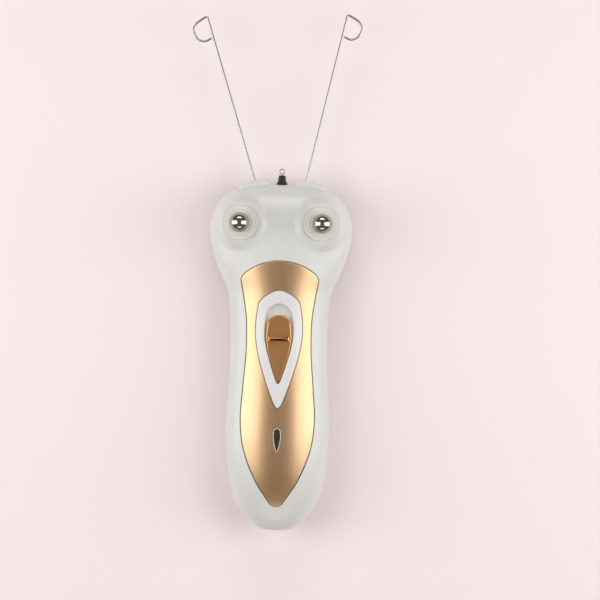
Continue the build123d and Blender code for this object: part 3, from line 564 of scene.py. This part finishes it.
def domed(outline: np.ndarray, spine: Pair, rings: list[Ring]) -> MeshData:
    """Closed solid from a stack of rings whose first and last shrink to the spine.

    Args:
        outline: clockwise outline.
        spine: centre line the ends shrink toward.
        rings: rings from the middle of the underside round to the middle of the top.

    Returns:
        The surface through the rings.
    """
    data = MeshData()
    data.grid(np.stack([ring_points(outline, spine, ring) for ring in rings]), wrap_columns=True)
    return data


def rounded_rings(top: float, radius: float, steps: int) -> list[Ring]:
    """Rings of a quarter-round edge whose top is lifted off the housing.

    Args:
        top: lift of the finished surface.
        radius: edge radius.
        steps: number of rings.

    Returns:
        Rings with inset r (1 - cos a) and lift top - r (1 - sin a).
    """
    angles = np.linspace(0, math.pi / 2, steps)
    return [Ring(inset=radius * (1 - math.cos(a)), raised=top - radius * (1 - math.sin(a))) for a in angles]


def block_prism(outline: np.ndarray, low: float, high: float, rounding: float = 0.0) -> MeshData:
    """Straight solid over an outline with rounded rims.

    Args:
        outline: clockwise outline.
        low: lower level.
        high: upper level.
        rounding: radius of both rims.

    Returns:
        The stack of outline copies, shrunk as r (1 - cos a) at each rim; its flat ends are
        closed when the mesh is built.
    """
    angles = np.linspace(0, math.pi / 2, 6) if rounding else np.array([0.0])
    steps = [(rounding * (1 - math.cos(a)), rounding * (1 - math.sin(a))) for a in angles]
    lower = [Ring(inset=inset, level=low + drop) for inset, drop in steps[::-1]]
    upper = [Ring(inset=inset, level=high - drop) for inset, drop in steps]
    return domed(outline, WHOLE_LENGTH, lower + upper)


def cutter(data: MeshData) -> Object:
    """Builds a mesh that is only used to cut another.

    Args:
        data: closed surface.

    Returns:
        The object.
    """
    return data.build("cutter", smooth=False)


def knob_axes(side: float) -> tuple[np.ndarray, np.ndarray]:
    """Place and direction of a thread clamp.

    Args:
        side: +1 for the right clamp, -1 for the left.

    Returns:
        The foot of the collar and the unit axis that leans outward.
    """
    x, y, z = BODY.knob_place
    lean = math.radians(BODY.knob_tilt)
    return np.array([side * x, y, z]), np.array([side * math.sin(lean), 0.0, math.cos(lean)])


def bar(radius: float, low: float, high: float, steps: int = 48) -> MeshData:
    """Plain cylinder on the local Z axis.

    Args:
        radius: its radius.
        low: its foot.
        high: its top.
        steps: facets round it.

    Returns:
        The closed surface.
    """
    profile = np.array([(AXIS_GAP, low), (radius, low), (radius, high), (AXIS_GAP, high)])
    return revolve(profile, steps)


# --- shader groups


FLOAT, VECTOR = "NodeSocketFloat", "NodeSocketVector"


class Group:
    """A shader node group under construction."""

    def __init__(self, name: str) -> None:
        """Starts an empty group.

        Args:
            name: group name.
        """
        self.tree = bpy.data.node_groups.new(name, "ShaderNodeTree")
        self.inside = self.tree.nodes.new("NodeGroupInput")
        self.outside = self.tree.nodes.new("NodeGroupOutput")

    def takes(self, name: str, kind: str, default: float | Triple) -> "Group":
        """Adds an input.

        Args:
            name: socket name.
            kind: socket type, such as NodeSocketFloat.
            default: its value when nothing is linked.

        Returns:
            The group itself.
        """
        socket = self.tree.interface.new_socket(name=name, in_out="INPUT", socket_type=kind)
        socket.default_value = default
        return self

    def gives(self, name: str, kind: str) -> "Group":
        """Adds an output.

        Args:
            name: socket name.
            kind: socket type.

        Returns:
            The group itself.
        """
        self.tree.interface.new_socket(name=name, in_out="OUTPUT", socket_type=kind)
        return self

    def node(self, kind: str, **settings: object) -> Node:
        """Adds a node.

        Args:
            kind: Blender node type.
            settings: attributes to set on it.

        Returns:
            The node.
        """
        made = self.tree.nodes.new(kind)
        for name, value in settings.items():
            setattr(made, name, value)
        return made

    def link(self, source: NodeSocket, target: NodeSocket) -> None:
        """Joins two sockets.

        Args:
            source: output socket.
            target: input socket.
        """
        self.tree.links.new(source, target)


def effect_group(name: str, spread: float) -> Group:
    """Starts a surface effect with the inputs and outputs that all of them have.

    Args:
        name: group name.
        spread: how far the roughness strays.

    Returns:
        The group, still without its noises.
    """
    group = Group(name)
    group.takes("Depth", FLOAT, 0.1).takes("Roughness", FLOAT, 0.4).takes("Spread", FLOAT, spread)
    return group.gives("Tone", FLOAT).gives("Roughness", FLOAT).gives("Normal", VECTOR)


def join_effect(group: Group, height: Node, tone: Node, distance: float) -> None:
    """Joins an effect's noises to its outputs: roughness + spread (tone - 1/2), and a bump.

    Args:
        group: the group.
        height: noise that raises the surface.
        tone: noise that varies tone and roughness.
        distance: height of the bump in metres.
    """
    inside, outside = group.inside.outputs, group.outside.inputs
    bump = group.node("ShaderNodeBump")
    bump.inputs["Distance"].default_value = distance
    centred = group.node("ShaderNodeMath", operation="SUBTRACT")
    centred.inputs[1].default_value = 0.5
    scaled = group.node("ShaderNodeMath", operation="MULTIPLY_ADD")
    group.link(inside["Depth"], bump.inputs["Strength"])
    group.link(height.outputs[0], bump.inputs["Height"])
    group.link(tone.outputs[0], centred.inputs[0])
    group.link(centred.outputs[0], scaled.inputs[0])
    group.link(inside["Spread"], scaled.inputs[1])
    group.link(inside["Roughness"], scaled.inputs[2])
    group.link(tone.outputs[0], outside["Tone"])
    group.link(scaled.outputs[0], outside["Roughness"])
    group.link(bump.outputs[0], outside["Normal"])


def grain_group() -> NodeTree:
    """Fine moulded grain with soft blotches.

    Returns:
        A group giving a tone mask, a roughness that varies and a bumped normal.
    """
    group = effect_group("grain", 0.05)
    group.takes("Scale", FLOAT, 1500.0)
    place = group.node("ShaderNodeTexCoord")
    fine = group.node("ShaderNodeTexNoise")
    fine.inputs["Detail"].default_value = 3
    soft = group.node("ShaderNodeTexNoise")
    soft.inputs["Scale"].default_value = 40
    soft.inputs["Detail"].default_value = 5
    group.link(place.outputs["Object"], fine.inputs["Vector"])
    group.link(place.outputs["Object"], soft.inputs["Vector"])
    group.link(group.inside.outputs["Scale"], fine.inputs["Scale"])
    join_effect(group, fine, soft, 0.0002)
    return group.tree


def brushed_group() -> NodeTree:
    """Fine brushing along the length of a metal piece.

    Returns:
        A group giving a tone mask, a roughness that varies and a bumped normal.
    """
    group = effect_group("brushed", 0.08)
    group.takes("Stretch", VECTOR, (3000.0, 60.0, 3000.0))
    place = group.node("ShaderNodeTexCoord")
    stretch = group.node("ShaderNodeVectorMath", operation="MULTIPLY")
    lines = group.node("ShaderNodeTexNoise")
    lines.inputs["Scale"].default_value = 1
    lines.inputs["Detail"].default_value = 4
    group.link(place.outputs["Object"], stretch.inputs[0])
    group.link(group.inside.outputs["Stretch"], stretch.inputs[1])
    group.link(stretch.outputs[0], lines.inputs["Vector"])
    join_effect(group, lines, lines, 0.00005)
    return group.tree


class Effect(Enum):
    """Surface effect that a finish is built on."""

    GRAIN = "grain"
    BRUSHED = "brushed"


@dataclass(frozen=True)
class Finish:
    """One procedural material: two base tones blended by its effect's mask."""

    light: Triple
    dark: Triple
    roughness: float
    metallic: float = 0.0
    depth: float = 0.1
    scale: float = 1500.0
    coat: float = 0.0
    effect: Effect = Effect.GRAIN

    def build(self, name: str, groups: dict[Effect, NodeTree]) -> Material:
        """Makes the material.

        Args:
            name: material name.
            groups: the shared shader groups.

        Returns:
            The material, its tone, roughness and normal driven by the group.
        """
        material = bpy.data.materials.new(name)
        material.use_nodes = True
        nodes, links = material.node_tree.nodes, material.node_tree.links
        shader = nodes["Principled BSDF"]
        effect = nodes.new("ShaderNodeGroup")
        effect.node_tree = groups[self.effect]
        effect.inputs["Depth"].default_value = self.depth
        effect.inputs["Roughness"].default_value = self.roughness
        if self.effect is Effect.GRAIN:
            effect.inputs["Scale"].default_value = self.scale
        mix = nodes.new("ShaderNodeMix")
        mix.data_type = "RGBA"
        mix.inputs[6].default_value = (*self.dark, 1)
        mix.inputs[7].default_value = (*self.light, 1)
        links.new(effect.outputs["Tone"], mix.inputs[0])
        links.new(mix.outputs[2], shader.inputs["Base Color"])
        links.new(effect.outputs["Roughness"], shader.inputs["Roughness"])
        links.new(effect.outputs["Normal"], shader.inputs["Normal"])
        shader.inputs["Metallic"].default_value = self.metallic
        shader.inputs["Coat Weight"].default_value = self.coat
        shader.inputs["Coat Roughness"].default_value = 0.08
        return material


FINISHES = {
    "shell": Finish((0.73, 0.74, 0.72), (0.69, 0.70, 0.68), 0.34, depth=0.05, coat=0.25),
    "champagne_metal": Finish((0.7, 0.475, 0.28), (0.62, 0.41, 0.23), 0.36, 1.0, 0.1, effect=Effect.BRUSHED),
    "white_trim": Finish((0.80, 0.81, 0.80), (0.76, 0.77, 0.76), 0.3, depth=0.04, coat=0.3),
    "copper_metal": Finish((0.84, 0.46, 0.20), (0.74, 0.39, 0.16), 0.33, 1.0, 0.15, effect=Effect.BRUSHED),
    "black_plastic": Finish((0.028, 0.027, 0.026), (0.016, 0.016, 0.016), 0.36, depth=0.1),
    "cream_plastic": Finish((0.78, 0.76, 0.70), (0.74, 0.72, 0.66), 0.34, depth=0.05, coat=0.2),
    "smoked_lens": Finish((0.045, 0.035, 0.03), (0.03, 0.024, 0.02), 0.1, depth=0.02, coat=0.6),
    "board": Finish((0.03, 0.16, 0.07), (0.02, 0.11, 0.05), 0.4, depth=0.1, scale=700),
    "screw_steel": Finish((0.62, 0.61, 0.6), (0.5, 0.5, 0.49), 0.28, 1.0, 0.15),
    "battery_sleeve": Finish((0.12, 0.27, 0.36), (0.09, 0.22, 0.3), 0.3, depth=0.05),
    "contact_metal": Finish((0.72, 0.56, 0.28), (0.62, 0.47, 0.22), 0.3, 1.0, 0.1),
    "switch_metal": Finish((0.6, 0.6, 0.6), (0.5, 0.5, 0.5), 0.34, 1.0, 0.2),
    "frame_plastic": Finish((0.52, 0.52, 0.5), (0.45, 0.45, 0.43), 0.45, depth=0.1),
    "magnet": Finish((0.08, 0.08, 0.085), (0.05, 0.05, 0.055), 0.55, depth=0.3, scale=900),
    "gear_plastic": Finish((0.8, 0.77, 0.7), (0.74, 0.71, 0.64), 0.42, depth=0.08),
    "arm_wire": Finish((0.52, 0.51, 0.50), (0.46, 0.45, 0.44), 0.26, 1.0, 0.02),
    "chrome_knob": Finish((0.42, 0.41, 0.40), (0.36, 0.35, 0.34), 0.09, 1.0, 0.02),
    "red_lead": Finish((0.5, 0.04, 0.03), (0.4, 0.03, 0.02), 0.45, depth=0.05),
    "black_lead": Finish((0.03, 0.03, 0.03), (0.02, 0.02, 0.02), 0.45, depth=0.05),
}


class Paint:
    """Every material of the object, made once."""

    def __init__(self) -> None:
        """Builds the shared groups and all finishes."""
        groups = {Effect.GRAIN: grain_group(), Effect.BRUSHED: brushed_group()}
        self.materials = {name: finish.build(name, groups) for name, finish in FINISHES.items()}

    def dress(self, obj: Object, slot: str) -> None:
        """Gives an object one of the materials.

        Args:
            obj: mesh object.
            slot: material slot name.
        """
        obj.data.materials.clear()
        obj.data.materials.append(self.materials[slot])


# --- sub-assemblies


@dataclass(frozen=True)
class Piece:
    """A finished visual piece and what it stands for."""

    obj: Object
    body: str
    slot: str
    nodes: tuple[str, ...]

    def settle(self, paint: Paint) -> None:
        """Paints the piece, hides the pieces it stands for and ties it to its body.

        Args:
            paint: the materials.
        """
        paint.dress(self.obj, self.slot)
        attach(self.obj, self.body)
        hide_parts(*self.nodes)
        LOG.info("%s: %d faces", self.obj.name, len(self.obj.data.polygons))


@dataclass
class Housing:
    """Front shell of the housing with its mounds; a hole is a radius, a foot and a top."""

    rows: int = 300
    columns: int = 160
    inner_columns: int = 60
    wall: float = 2.4
    plate_seat: float = 1.2
    panel_gap: float = 0.3
    window_gap: float = 0.4
    cover_half: float = 5.8
    stem_hole: Triple = (1.62, -14.0, 4.0)
    sleeve_hole: Triple = (3.42, -5.0, 0.4)
    sleeve_y: float = 152.55
    socket_hole: Triple = (3.05, -2.0, 6.0)

    def recess(self) -> Object:
        """Cutter for the faceplate's seat.

        Returns:
            A solid whose underside lies one plate thickness inside the surface.
        """
        rings = [Ring(share=s, raised=-self.plate_seat) for s in np.linspace(0, 1, 14)]
        rings += [Ring(level=CUT_HIGH - 4.0), Ring(share=0.0, level=CUT_HIGH - 4.0)]
        return cutter(domed(plate_outline(self.panel_gap), PLATE_SPINE, rings))

    def build(self) -> list[Piece]:
        """Makes the front shell.

        Returns:
            One piece: outer and inner half ovals joined along the seam, less its seats.
        """
        outer = front_surface(0.0, self.rows, self.columns)
        inner = front_surface(self.wall, self.rows, self.inner_columns)[:, ::-1]
        ring = np.concatenate([outer, inner], axis=1)
        first, last = ring[:1].copy(), ring[-1:].copy()
        first[..., 2] = SEAM_Z
        last[..., 2] = SEAM_Z
        data = MeshData()
        data.grid(np.concatenate([first, ring, last]), wrap_columns=True)
        shell = data.build("front_shell_skin")
        bezel_seat = teardrop(BEZEL_SPAN, BEZEL_WIDTH, SEAT_GAP)
        window_seat = teardrop(WINDOW_SPAN, WINDOW_WIDTH, self.window_gap)
        cutters = [self.recess()]
        cutters += [cutter(block_prism(seat, CUT_LOW, CUT_HIGH)) for seat in (bezel_seat, window_seat)]
        for side in SIDES.values():
            outline = cover_outline(SEAT_GAP)
            outline = outline if side > 0 else (outline * [-1, 1])[::-1]
            cutters.append(cutter(block_prism(outline, SEAM_Z - self.cover_half, SEAM_Z + self.cover_half)))
            origin, axis = knob_axes(side)
            cutters.append(cutter(placed(bar(*self.stem_hole), origin, ALONG, axis)))
        for hole, y in ((self.sleeve_hole, self.sleeve_y), (self.socket_hole, 0.0)):
            cutters.append(cutter(placed(bar(*hole), np.array([0, y, SEAM_Z]), RIGHT, ALONG)))
        cut(shell, cutters)
        return [Piece(shell, "housing", "shell", ("front_shell",))]


@dataclass
class Face:
    """Faceplate, bezel and indicator on the front; the slot is a half width and its ends."""

    thick: float = 1.15
    proud: float = 0.7
    line: float = 0.3
    window_line: float = 0.45
    opening_span: Pair = (64.9, 100.1)
    opening_width: float = 12.8
    floor: float = 28.0
    slot: Triple = (1.9, 72.1, 80.4)

    def plate(self) -> Piece:
        """Makes the metal faceplate.

        Returns:
            A sheet that follows the housing's front, with its two openings cut out.
        """
        under = [Ring(share=s, raised=-self.thick) for s in np.linspace(0, 1, 10)]
        rings = under + rounded_rings(0.0, 0.25, 4)
        rings += [Ring(inset=0.25, share=s) for s in np.linspace(1, 0, 26)[1:]]
        plate = domed(plate_outline(), PLATE_SPINE, rings).build("faceplate_skin")
        bezel_hole = teardrop(BEZEL_SPAN, BEZEL_WIDTH, self.line)
        window_hole = teardrop(WINDOW_SPAN, WINDOW_WIDTH, self.window_line)
        cut(plate, [cutter(block_prism(hole, CUT_LOW, CUT_HIGH)) for hole in (bezel_hole, window_hole)])
        return Piece(plate, "housing", "champagne_metal", ("faceplate",))

    def bezel(self) -> Piece:
        """Makes the white switch surround.

        Returns:
            A drop-shaped block with a soft lip that rolls down into the slider's opening.
        """
        outline = teardrop(BEZEL_SPAN, BEZEL_WIDTH)
        opening = teardrop(self.opening_span, self.opening_width)
        spine, slot_spine = (66.0, 92.0), (72.0, 92.0)
        outer = [Ring(share=s, level=26.4) for s in (0.0, 0.5, 1.0)]
        outer += rounded_rings(self.proud, 0.6, 7)
        start = ring_points(outline, spine, Ring(inset=0.6, raised=self.proud))
        end = ring_points(opening, slot_spine, Ring(inset=-0.55, raised=self.proud))
        blend = np.linspace(0, 1, 12)[1:-1, None, None]
        between = start[None] * (1 - blend) + end[None] * blend
        between[..., 2] = BODY.height(between[..., 0], between[..., 1], self.proud)
        lip = rounded_rings(self.proud, 0.55, 7)[::-1]
        inner = [Ring(inset=-ring.inset, raised=ring.raised) for ring in lip]
        inner += [Ring(share=s, level=self.floor) for s in (1.0, 0.5, 0.0)]
        rows = [ring_points(outline, spine, ring) for ring in outer]
        rows += list(between)
        rows += [ring_points(opening, slot_spine, ring) for ring in inner]
        data = MeshData()
        data.grid(np.stack(rows), wrap_columns=True)
        bezel = data.build("switch_bezel_skin")
        half, low, high = self.slot
        slot = [(0.0, high), (half, high), (half, low), (0.0, low), (-half, low), (-half, high)]
        cut(bezel, [cutter(block_prism(np.array(slot), 25.0, 29.0))])
        return Piece(bezel, "housing", "white_trim", ("switch_bezel",))

    def window(self) -> list[Piece]:
        """Makes the dark indicator window and its thin rim.

        Returns:
            The lens and the rim.
        """
        outline = teardrop(WINDOW_SPAN, WINDOW_WIDTH)
        spine = (38.5, 43.8)
        rings = [Ring(share=s, level=27.0) for s in (0.0, 1.0)]
        rings += rounded_rings(-0.2, 0.2, 4)
        rings += [Ring(inset=0.2, share=s, raised=-0.2) for s in np.linspace(1, 0, 6)[1:]]
        lens = domed(outline, spine, rings).build("indicator_lens_skin")
        section = [Ring(inset=-0.35, level=30.1), Ring(inset=-0.35, raised=0.05)]
        section += [Ring(inset=-0.25, raised=0.15), Ring(inset=-0.12, raised=0.15)]
        section += [Ring(inset=-0.03, raised=0.05), Ring(inset=-0.03, level=30.1)]
        loops = np.stack([ring_points(outline, spine, ring) for ring in section])
        data = MeshData()
        data.grid(loops, wrap_rows=True, wrap_columns=True)
        rim = data.build("indicator_rim_skin")
        return [
            Piece(lens, "housing", "smoked_lens", ("indicator_lens",)),
            Piece(rim, "housing", "cream_plastic", ("indicator_rim",)),
        ]

    def build(self) -> list[Piece]:
        """Makes all the pieces on the front.

        Returns:
            Faceplate, bezel, lens and rim.
        """
        return [self.plate(), self.bezel(), *self.window()]


@dataclass
class Slider:
    """Copper switch slider; a groove is two half widths and its distance from the ridge."""

    span: Pair = (65.9, 95.2)
    width: float = 11.2
    bottom: float = 28.2
    top: float = 30.2
    bevel: float = 0.45
    ridge_y: float = 84.7
    ridge_half: float = 4.6
    groove: Triple = (4.5, 0.6, 1.3)

    def build(self) -> list[Piece]:
        """Makes the slider.

        Returns:
            A bevelled drop with a waisted ridge between two scooped grooves.
        """
        outline = teardrop(self.span, self.width)
        edge, top = self.bevel, self.top
        rings = [Ring(share=s, level=self.bottom) for s in (0.0, 1.0)]
        rings += [Ring(level=top - edge), Ring(inset=edge * 0.15, level=top - edge * 0.75)]
        rings += [Ring(inset=edge * 0.85, level=top - edge * 0.1), Ring(inset=edge, level=top)]
        rings += [Ring(inset=edge, share=s, level=top) for s in np.linspace(1, 0, 12)[1:]]
        slider = domed(outline, (73.0, 88.0), rings).build("slider_button_skin")
        half_x, half_y, away = self.groove
        angle = np.linspace(0, 2 * np.pi, 48, endpoint=False)[::-1]
        grooves = []
        for offset in (-away, away):
            oval = np.stack([half_x * np.cos(angle), self.ridge_y + offset + half_y * np.sin(angle)], axis=1)
            grooves.append(cutter(block_prism(oval, top - 0.9, top + 1.0)))
        cut(slider, grooves)
        across = np.linspace(-1, 1, 24)
        half = 0.5 + 0.35 * across**2
        upper = np.stack([across * self.ridge_half, self.ridge_y + half], axis=1)
        lower = np.stack([across[::-1] * self.ridge_half, self.ridge_y - half[::-1]], axis=1)
        ridge = block_prism(np.vstack([upper, lower]), top - 0.6, top + 0.9, 0.45).build("slider_ridge")
        return [
            Piece(slider, "power_slider", "copper_metal", ("slider_button",)),
            Piece(ridge, "power_slider", "copper_metal", ()),
        ]


@dataclass
class Clamp:
    """One thread clamp: stepped collar on its mound and chrome ball on its stem."""

    name: str
    side: float
    ball_radius: float = 4.4
    flat_z: float = 2.75
    flat_radius: float = 2.5
    stem_radius: float = 1.5
    stem_end: float = -9.8
    neck: Triple = (1.0, -9.2, -8.6)
    bore: float = 1.58
    foot: float = 0.02
    flange: Pair = (7.5, 1.72)
    step: Pair = (5.9, 2.6)

    def build(self) -> list[Piece]:
        """Makes the collar and the knob.

        Returns:
            Two turned pieces on the leaning axis.
        """
        origin, axis = knob_axes(self.side)
        corners = [(self.bore, self.foot, 0), (self.flange[0], self.foot, 0), (*self.flange, 0.5)]
        corners += [(self.step[0], self.flange[1], 0.12), (*self.step, 0.35), (self.bore, self.step[1], 0.2)]
        collar = revolve(rounded_loop(corners), 128)
        collar_obj = placed(collar, origin, ALONG, axis).build(f"{self.name}_collar_skin")
        drop = math.sqrt(self.ball_radius**2 - self.flat_radius**2)
        centre = self.flat_z + drop
        start = -math.asin(drop / self.ball_radius)
        angle = np.linspace(start, math.pi / 2, 48)
        ball = np.stack([self.ball_radius * np.cos(angle), centre + self.ball_radius * np.sin(angle)], axis=1)
        ball[-1, 0] = AXIS_GAP
        stem, end = self.stem_radius, self.stem_end
        thin, low, high = self.neck
        shaft = [(AXIS_GAP, end), (stem - 0.2, end), (stem, end + 0.2), (stem, low), (thin, low)]
        shaft += [(thin, high), (stem, high), (stem, self.flat_z)]
        turned = revolve(np.vstack([shaft, ball]), 128)
        knob = placed(turned, origin, ALONG, axis).build(f"{self.name}_knob_skin")
        return [
            Piece(collar_obj, "housing", "cream_plastic", (f"{self.name}_collar",)),
            Piece(knob, f"{self.name}_clamp", "chrome_knob", (f"{self.name}_knob",)),
        ]


@dataclass
class Arm:
    """One thread arm of bent wire and the slot cover it comes out of."""

    name: str
    side: float
    radius: float = 0.5
    pivot: Pair = (7.0, 138.0)
    lean: float = 2.2
    spread: float = 15.05
    length: float = 93.2
    bend: float = 0.7
    slot: Pair = (7.8, 14.6)
    slot_half: float = 0.85

    def path(self) -> np.ndarray:
        """Centre line of the wire in its own frame, the eye toward +X.

        Returns:
            A straight line, a tight arc and a smooth curve back round the eye.
        """
        straight_end = self.length - self.bend
        straight = np.stack([np.zeros(60), np.linspace(3.2, straight_end, 60)], axis=1)
        turn = np.radians(np.linspace(180, 75, 14))[1:]
        arc = np.stack([self.bend * (1 + np.cos(turn)), straight_end + self.bend * np.sin(turn)], axis=1)
        points = np.array([(5.4, 91.5), (7.6, 88.6), (6.9, 85.0), (4.2, 82.9), (1.15, 83.3)])
        eye = smooth_curve(np.vstack([arc[-2:], points]), 16)[17:]
        return np.vstack([straight, arc, eye])

    def build(self) -> list[Piece]:
        """Makes the wire and its cover.

        Returns:
            The bent wire and the humped cover with its slot.
        """
        local = self.path() * [self.side, 1.0]
        angle = math.radians(self.lean - self.side * self.spread)
        turned = local @ np.array([[math.cos(angle), math.sin(angle)], [-math.sin(angle), math.cos(angle)]])
        flat = turned + [self.side * self.pivot[0], self.pivot[1]]
        path = np.column_stack([flat, np.full(len(flat), SEAM_Z)])
        wire = tube(path, self.radius - 0.005).build(f"{self.name}_arm_skin")
        outline = cover_outline()
        near, far = self.slot
        slot = np.array([(near, 160.0), (far, 160.0), (far, 140.0), (near, 140.0)])
        if self.side < 0:
            outline, slot = (outline * [-1, 1])[::-1], (slot * [-1, 1])[::-1]
        block = block_prism(outline, SEAM_Z - COVER_HALF_DEPTH, SEAM_Z + COVER_HALF_DEPTH, 1.2)
        cover = block.build(f"{self.name}_slot_cover_skin")
        cut(cover, [cutter(block_prism(slot, SEAM_Z - self.slot_half, SEAM_Z + self.slot_half))])
        return [
            Piece(wire, f"{self.name}_swing_arm", "arm_wire", (f"{self.name}_arm",)),
            Piece(cover, "housing", "shell", (f"{self.name}_slot_cover",)),
        ]


@dataclass
class Hook:
    """Thread hook: black sleeve on the top end with a small wire loop."""

    wire: float = 0.27
    loop: float = 1.05
    loop_y: float = 158.75

    def build(self) -> list[Piece]:
        """Makes the sleeve and the loop.

        Returns:
            Two turned pieces on the body's long axis.
        """
        origin = np.array([0.0, 0.0, SEAM_Z])
        corners = [(0.3, 150.1, 0), (1.5, 150.1, 0.1), (1.5, 153.0, 0), (2.45, 153.0, 0.1)]
        corners += [(2.45, 153.45, 0.2), (1.85, 154.3, 0.3), (1.65, 156.0, 0.4), (1.35, 157.1, 0.3)]
        corners += [(0.3, 157.1, 0.1)]
        sleeve = revolve(rounded_loop(corners), 64)
        sleeve_obj = placed(sleeve, origin, RIGHT, ALONG).build("hook_sleeve_skin")
        angle = np.linspace(0, 2 * np.pi, 32, endpoint=False)
        section = np.stack([self.loop + self.wire * np.cos(angle), self.wire * np.sin(angle)], axis=1)
        loop = placed(revolve(section, 64), np.array([0, self.loop_y, SEAM_Z]), RIGHT, UP)
        shank = placed(bar(self.wire, 150.45, self.loop_y - self.loop, 24), origin, RIGHT, ALONG)
        loop.add(shank)
        hook_obj = loop.build("thread_hook_skin")
        return [
            Piece(sleeve_obj, "housing", "black_plastic", ("hook_sleeve",)),
            Piece(hook_obj, "housing", "arm_wire", ("thread_hook",)),
        ]


# --- studio


@dataclass(frozen=True)
class Softbox:
    """One rectangular lamp aimed at a point of the object."""

    name: str
    place: Triple
    size: Pair
    power: float
    colour: Triple = (1.0, 1.0, 1.0)

    def build(self, target: Triple) -> None:
        """Adds the lamp.

        Args:
            target: point it faces, in metres.
        """
        lamp = bpy.data.lights.new(self.name, "AREA")
        lamp.shape = "RECTANGLE"
        lamp.size, lamp.size_y = self.size
        lamp.energy = self.power
        lamp.color = self.colour
        obj = bpy.data.objects.new(self.name, lamp)
        obj.location = self.place
        aim = Vector(target) - Vector(self.place)
        obj.rotation_euler = aim.to_track_quat("-Z", "Y").to_euler()
        bpy.context.scene.collection.objects.link(obj)


@dataclass
class Studio:
    """Camera, lamps and pale surroundings."""

    lens: float = 135.0
    centre: Pair = (0.00897, 0.0199)
    distance: float = 1.015
    turn: float = 1.1
    backdrop: Triple = (1.0, 0.84, 0.87)
    floor_half: float = 3.0
    floor_colour: Triple = (0.97, 0.87, 0.89)
    surround: Triple = (0.235, 0.185, 0.145)
    boxes: tuple[Softbox, ...] = (
        Softbox("left_box", (-0.50, 0.02, 0.36), (0.40, 0.80), 2.7, (0.93, 0.97, 1.0)),
        Softbox("right_box", (0.50, 0.02, 0.36), (0.40, 0.80), 2.7, (0.93, 0.97, 1.0)),
        Softbox("top_box", (0.0, 0.62, 0.42), (0.5, 0.2), 1.0),
        Softbox("foot_box", (0.0, -0.62, 0.42), (0.5, 0.2), 0.6),
    )

    def world(self) -> None:
        """Makes the surroundings: pale to the camera, dimmer for light and reflections."""
        world = bpy.data.worlds.new("surround")
        bpy.context.scene.world = world
        world.use_nodes = True
        nodes, links = world.node_tree.nodes, world.node_tree.links
        nodes.clear()
        rays = nodes.new("ShaderNodeLightPath")
        seen = nodes.new("ShaderNodeBackground")
        seen.inputs["Color"].default_value = (*self.backdrop, 1)
        around = nodes.new("ShaderNodeBackground")
        around.inputs["Color"].default_value = (*self.surround, 1)
        mix = nodes.new("ShaderNodeMixShader")
        output = nodes.new("ShaderNodeOutputWorld")
        links.new(rays.outputs["Is Camera Ray"], mix.inputs[0])
        links.new(around.outputs[0], mix.inputs[1])
        links.new(seen.outputs[0], mix.inputs[2])
        links.new(mix.outputs[0], output.inputs[0])

    def floor(self) -> None:
        """Lays a plain pale floor under the object, a square on which the back rests."""
        reach = self.floor_half
        corners = [(-reach, -reach, 0.0), (reach, -reach, 0.0), (reach, reach, 0.0), (-reach, reach, 0.0)]
        mesh = bpy.data.meshes.new("floor")
        mesh.from_pydata(corners, [], [(0, 1, 2, 3)])
        material = bpy.data.materials.new("floor")
        material.use_nodes = True
        shader = material.node_tree.nodes["Principled BSDF"]
        shader.inputs["Base Color"].default_value = (*self.floor_colour, 1)
        shader.inputs["Roughness"].default_value = 0.9
        shader.inputs["Specular IOR Level"].default_value = 0.1
        mesh.materials.append(material)
        obj = bpy.data.objects.new("floor", mesh)
        bpy.context.scene.collection.objects.link(obj)

    def build(self) -> None:
        """Adds the camera straight above the front, the lamps, the floor and the surroundings."""
        camera = bpy.data.cameras.new("camera")
        camera.lens = self.lens
        obj = bpy.data.objects.new("camera", camera)
        obj.location = (*self.centre, self.distance)
        obj.rotation_euler = (0, 0, math.radians(self.turn))
        bpy.context.scene.collection.objects.link(obj)
        bpy.context.scene.camera = obj
        bpy.context.scene.view_settings.view_transform = "Standard"
        for box in self.boxes:
            box.build((0.0, 0.0, 0.02))
        self.floor()
        self.world()


def dress_frame(frame: dict, paint: Paint) -> None:
    """Paints every node that is still shown with its own material.

    Args:
        paint: the materials.
    """
    slots = {part["node"]: part["material_slot"] for part in frame["record"]["subparts"]}
    for name, obj in frame["nodes"].items():
        if not obj.hide_render:
            paint.dress(obj, slots[name])


def main() -> None:
    logging.basicConfig(level=logging.INFO, format="%(name)s %(message)s")
    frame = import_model()
    paint = Paint()
    assemblies = [Housing(), Face(), Slider(), Hook()]
    for name, side in SIDES.items():
        assemblies += [Clamp(name, side), Arm(name, side)]
    for assembly in assemblies:
        for piece in assembly.build():
            piece.settle(paint)
    dress_frame(frame, paint)
    Studio().build()
    bpy.context.view_layer.update()


if __name__ == "__main__":
    main()
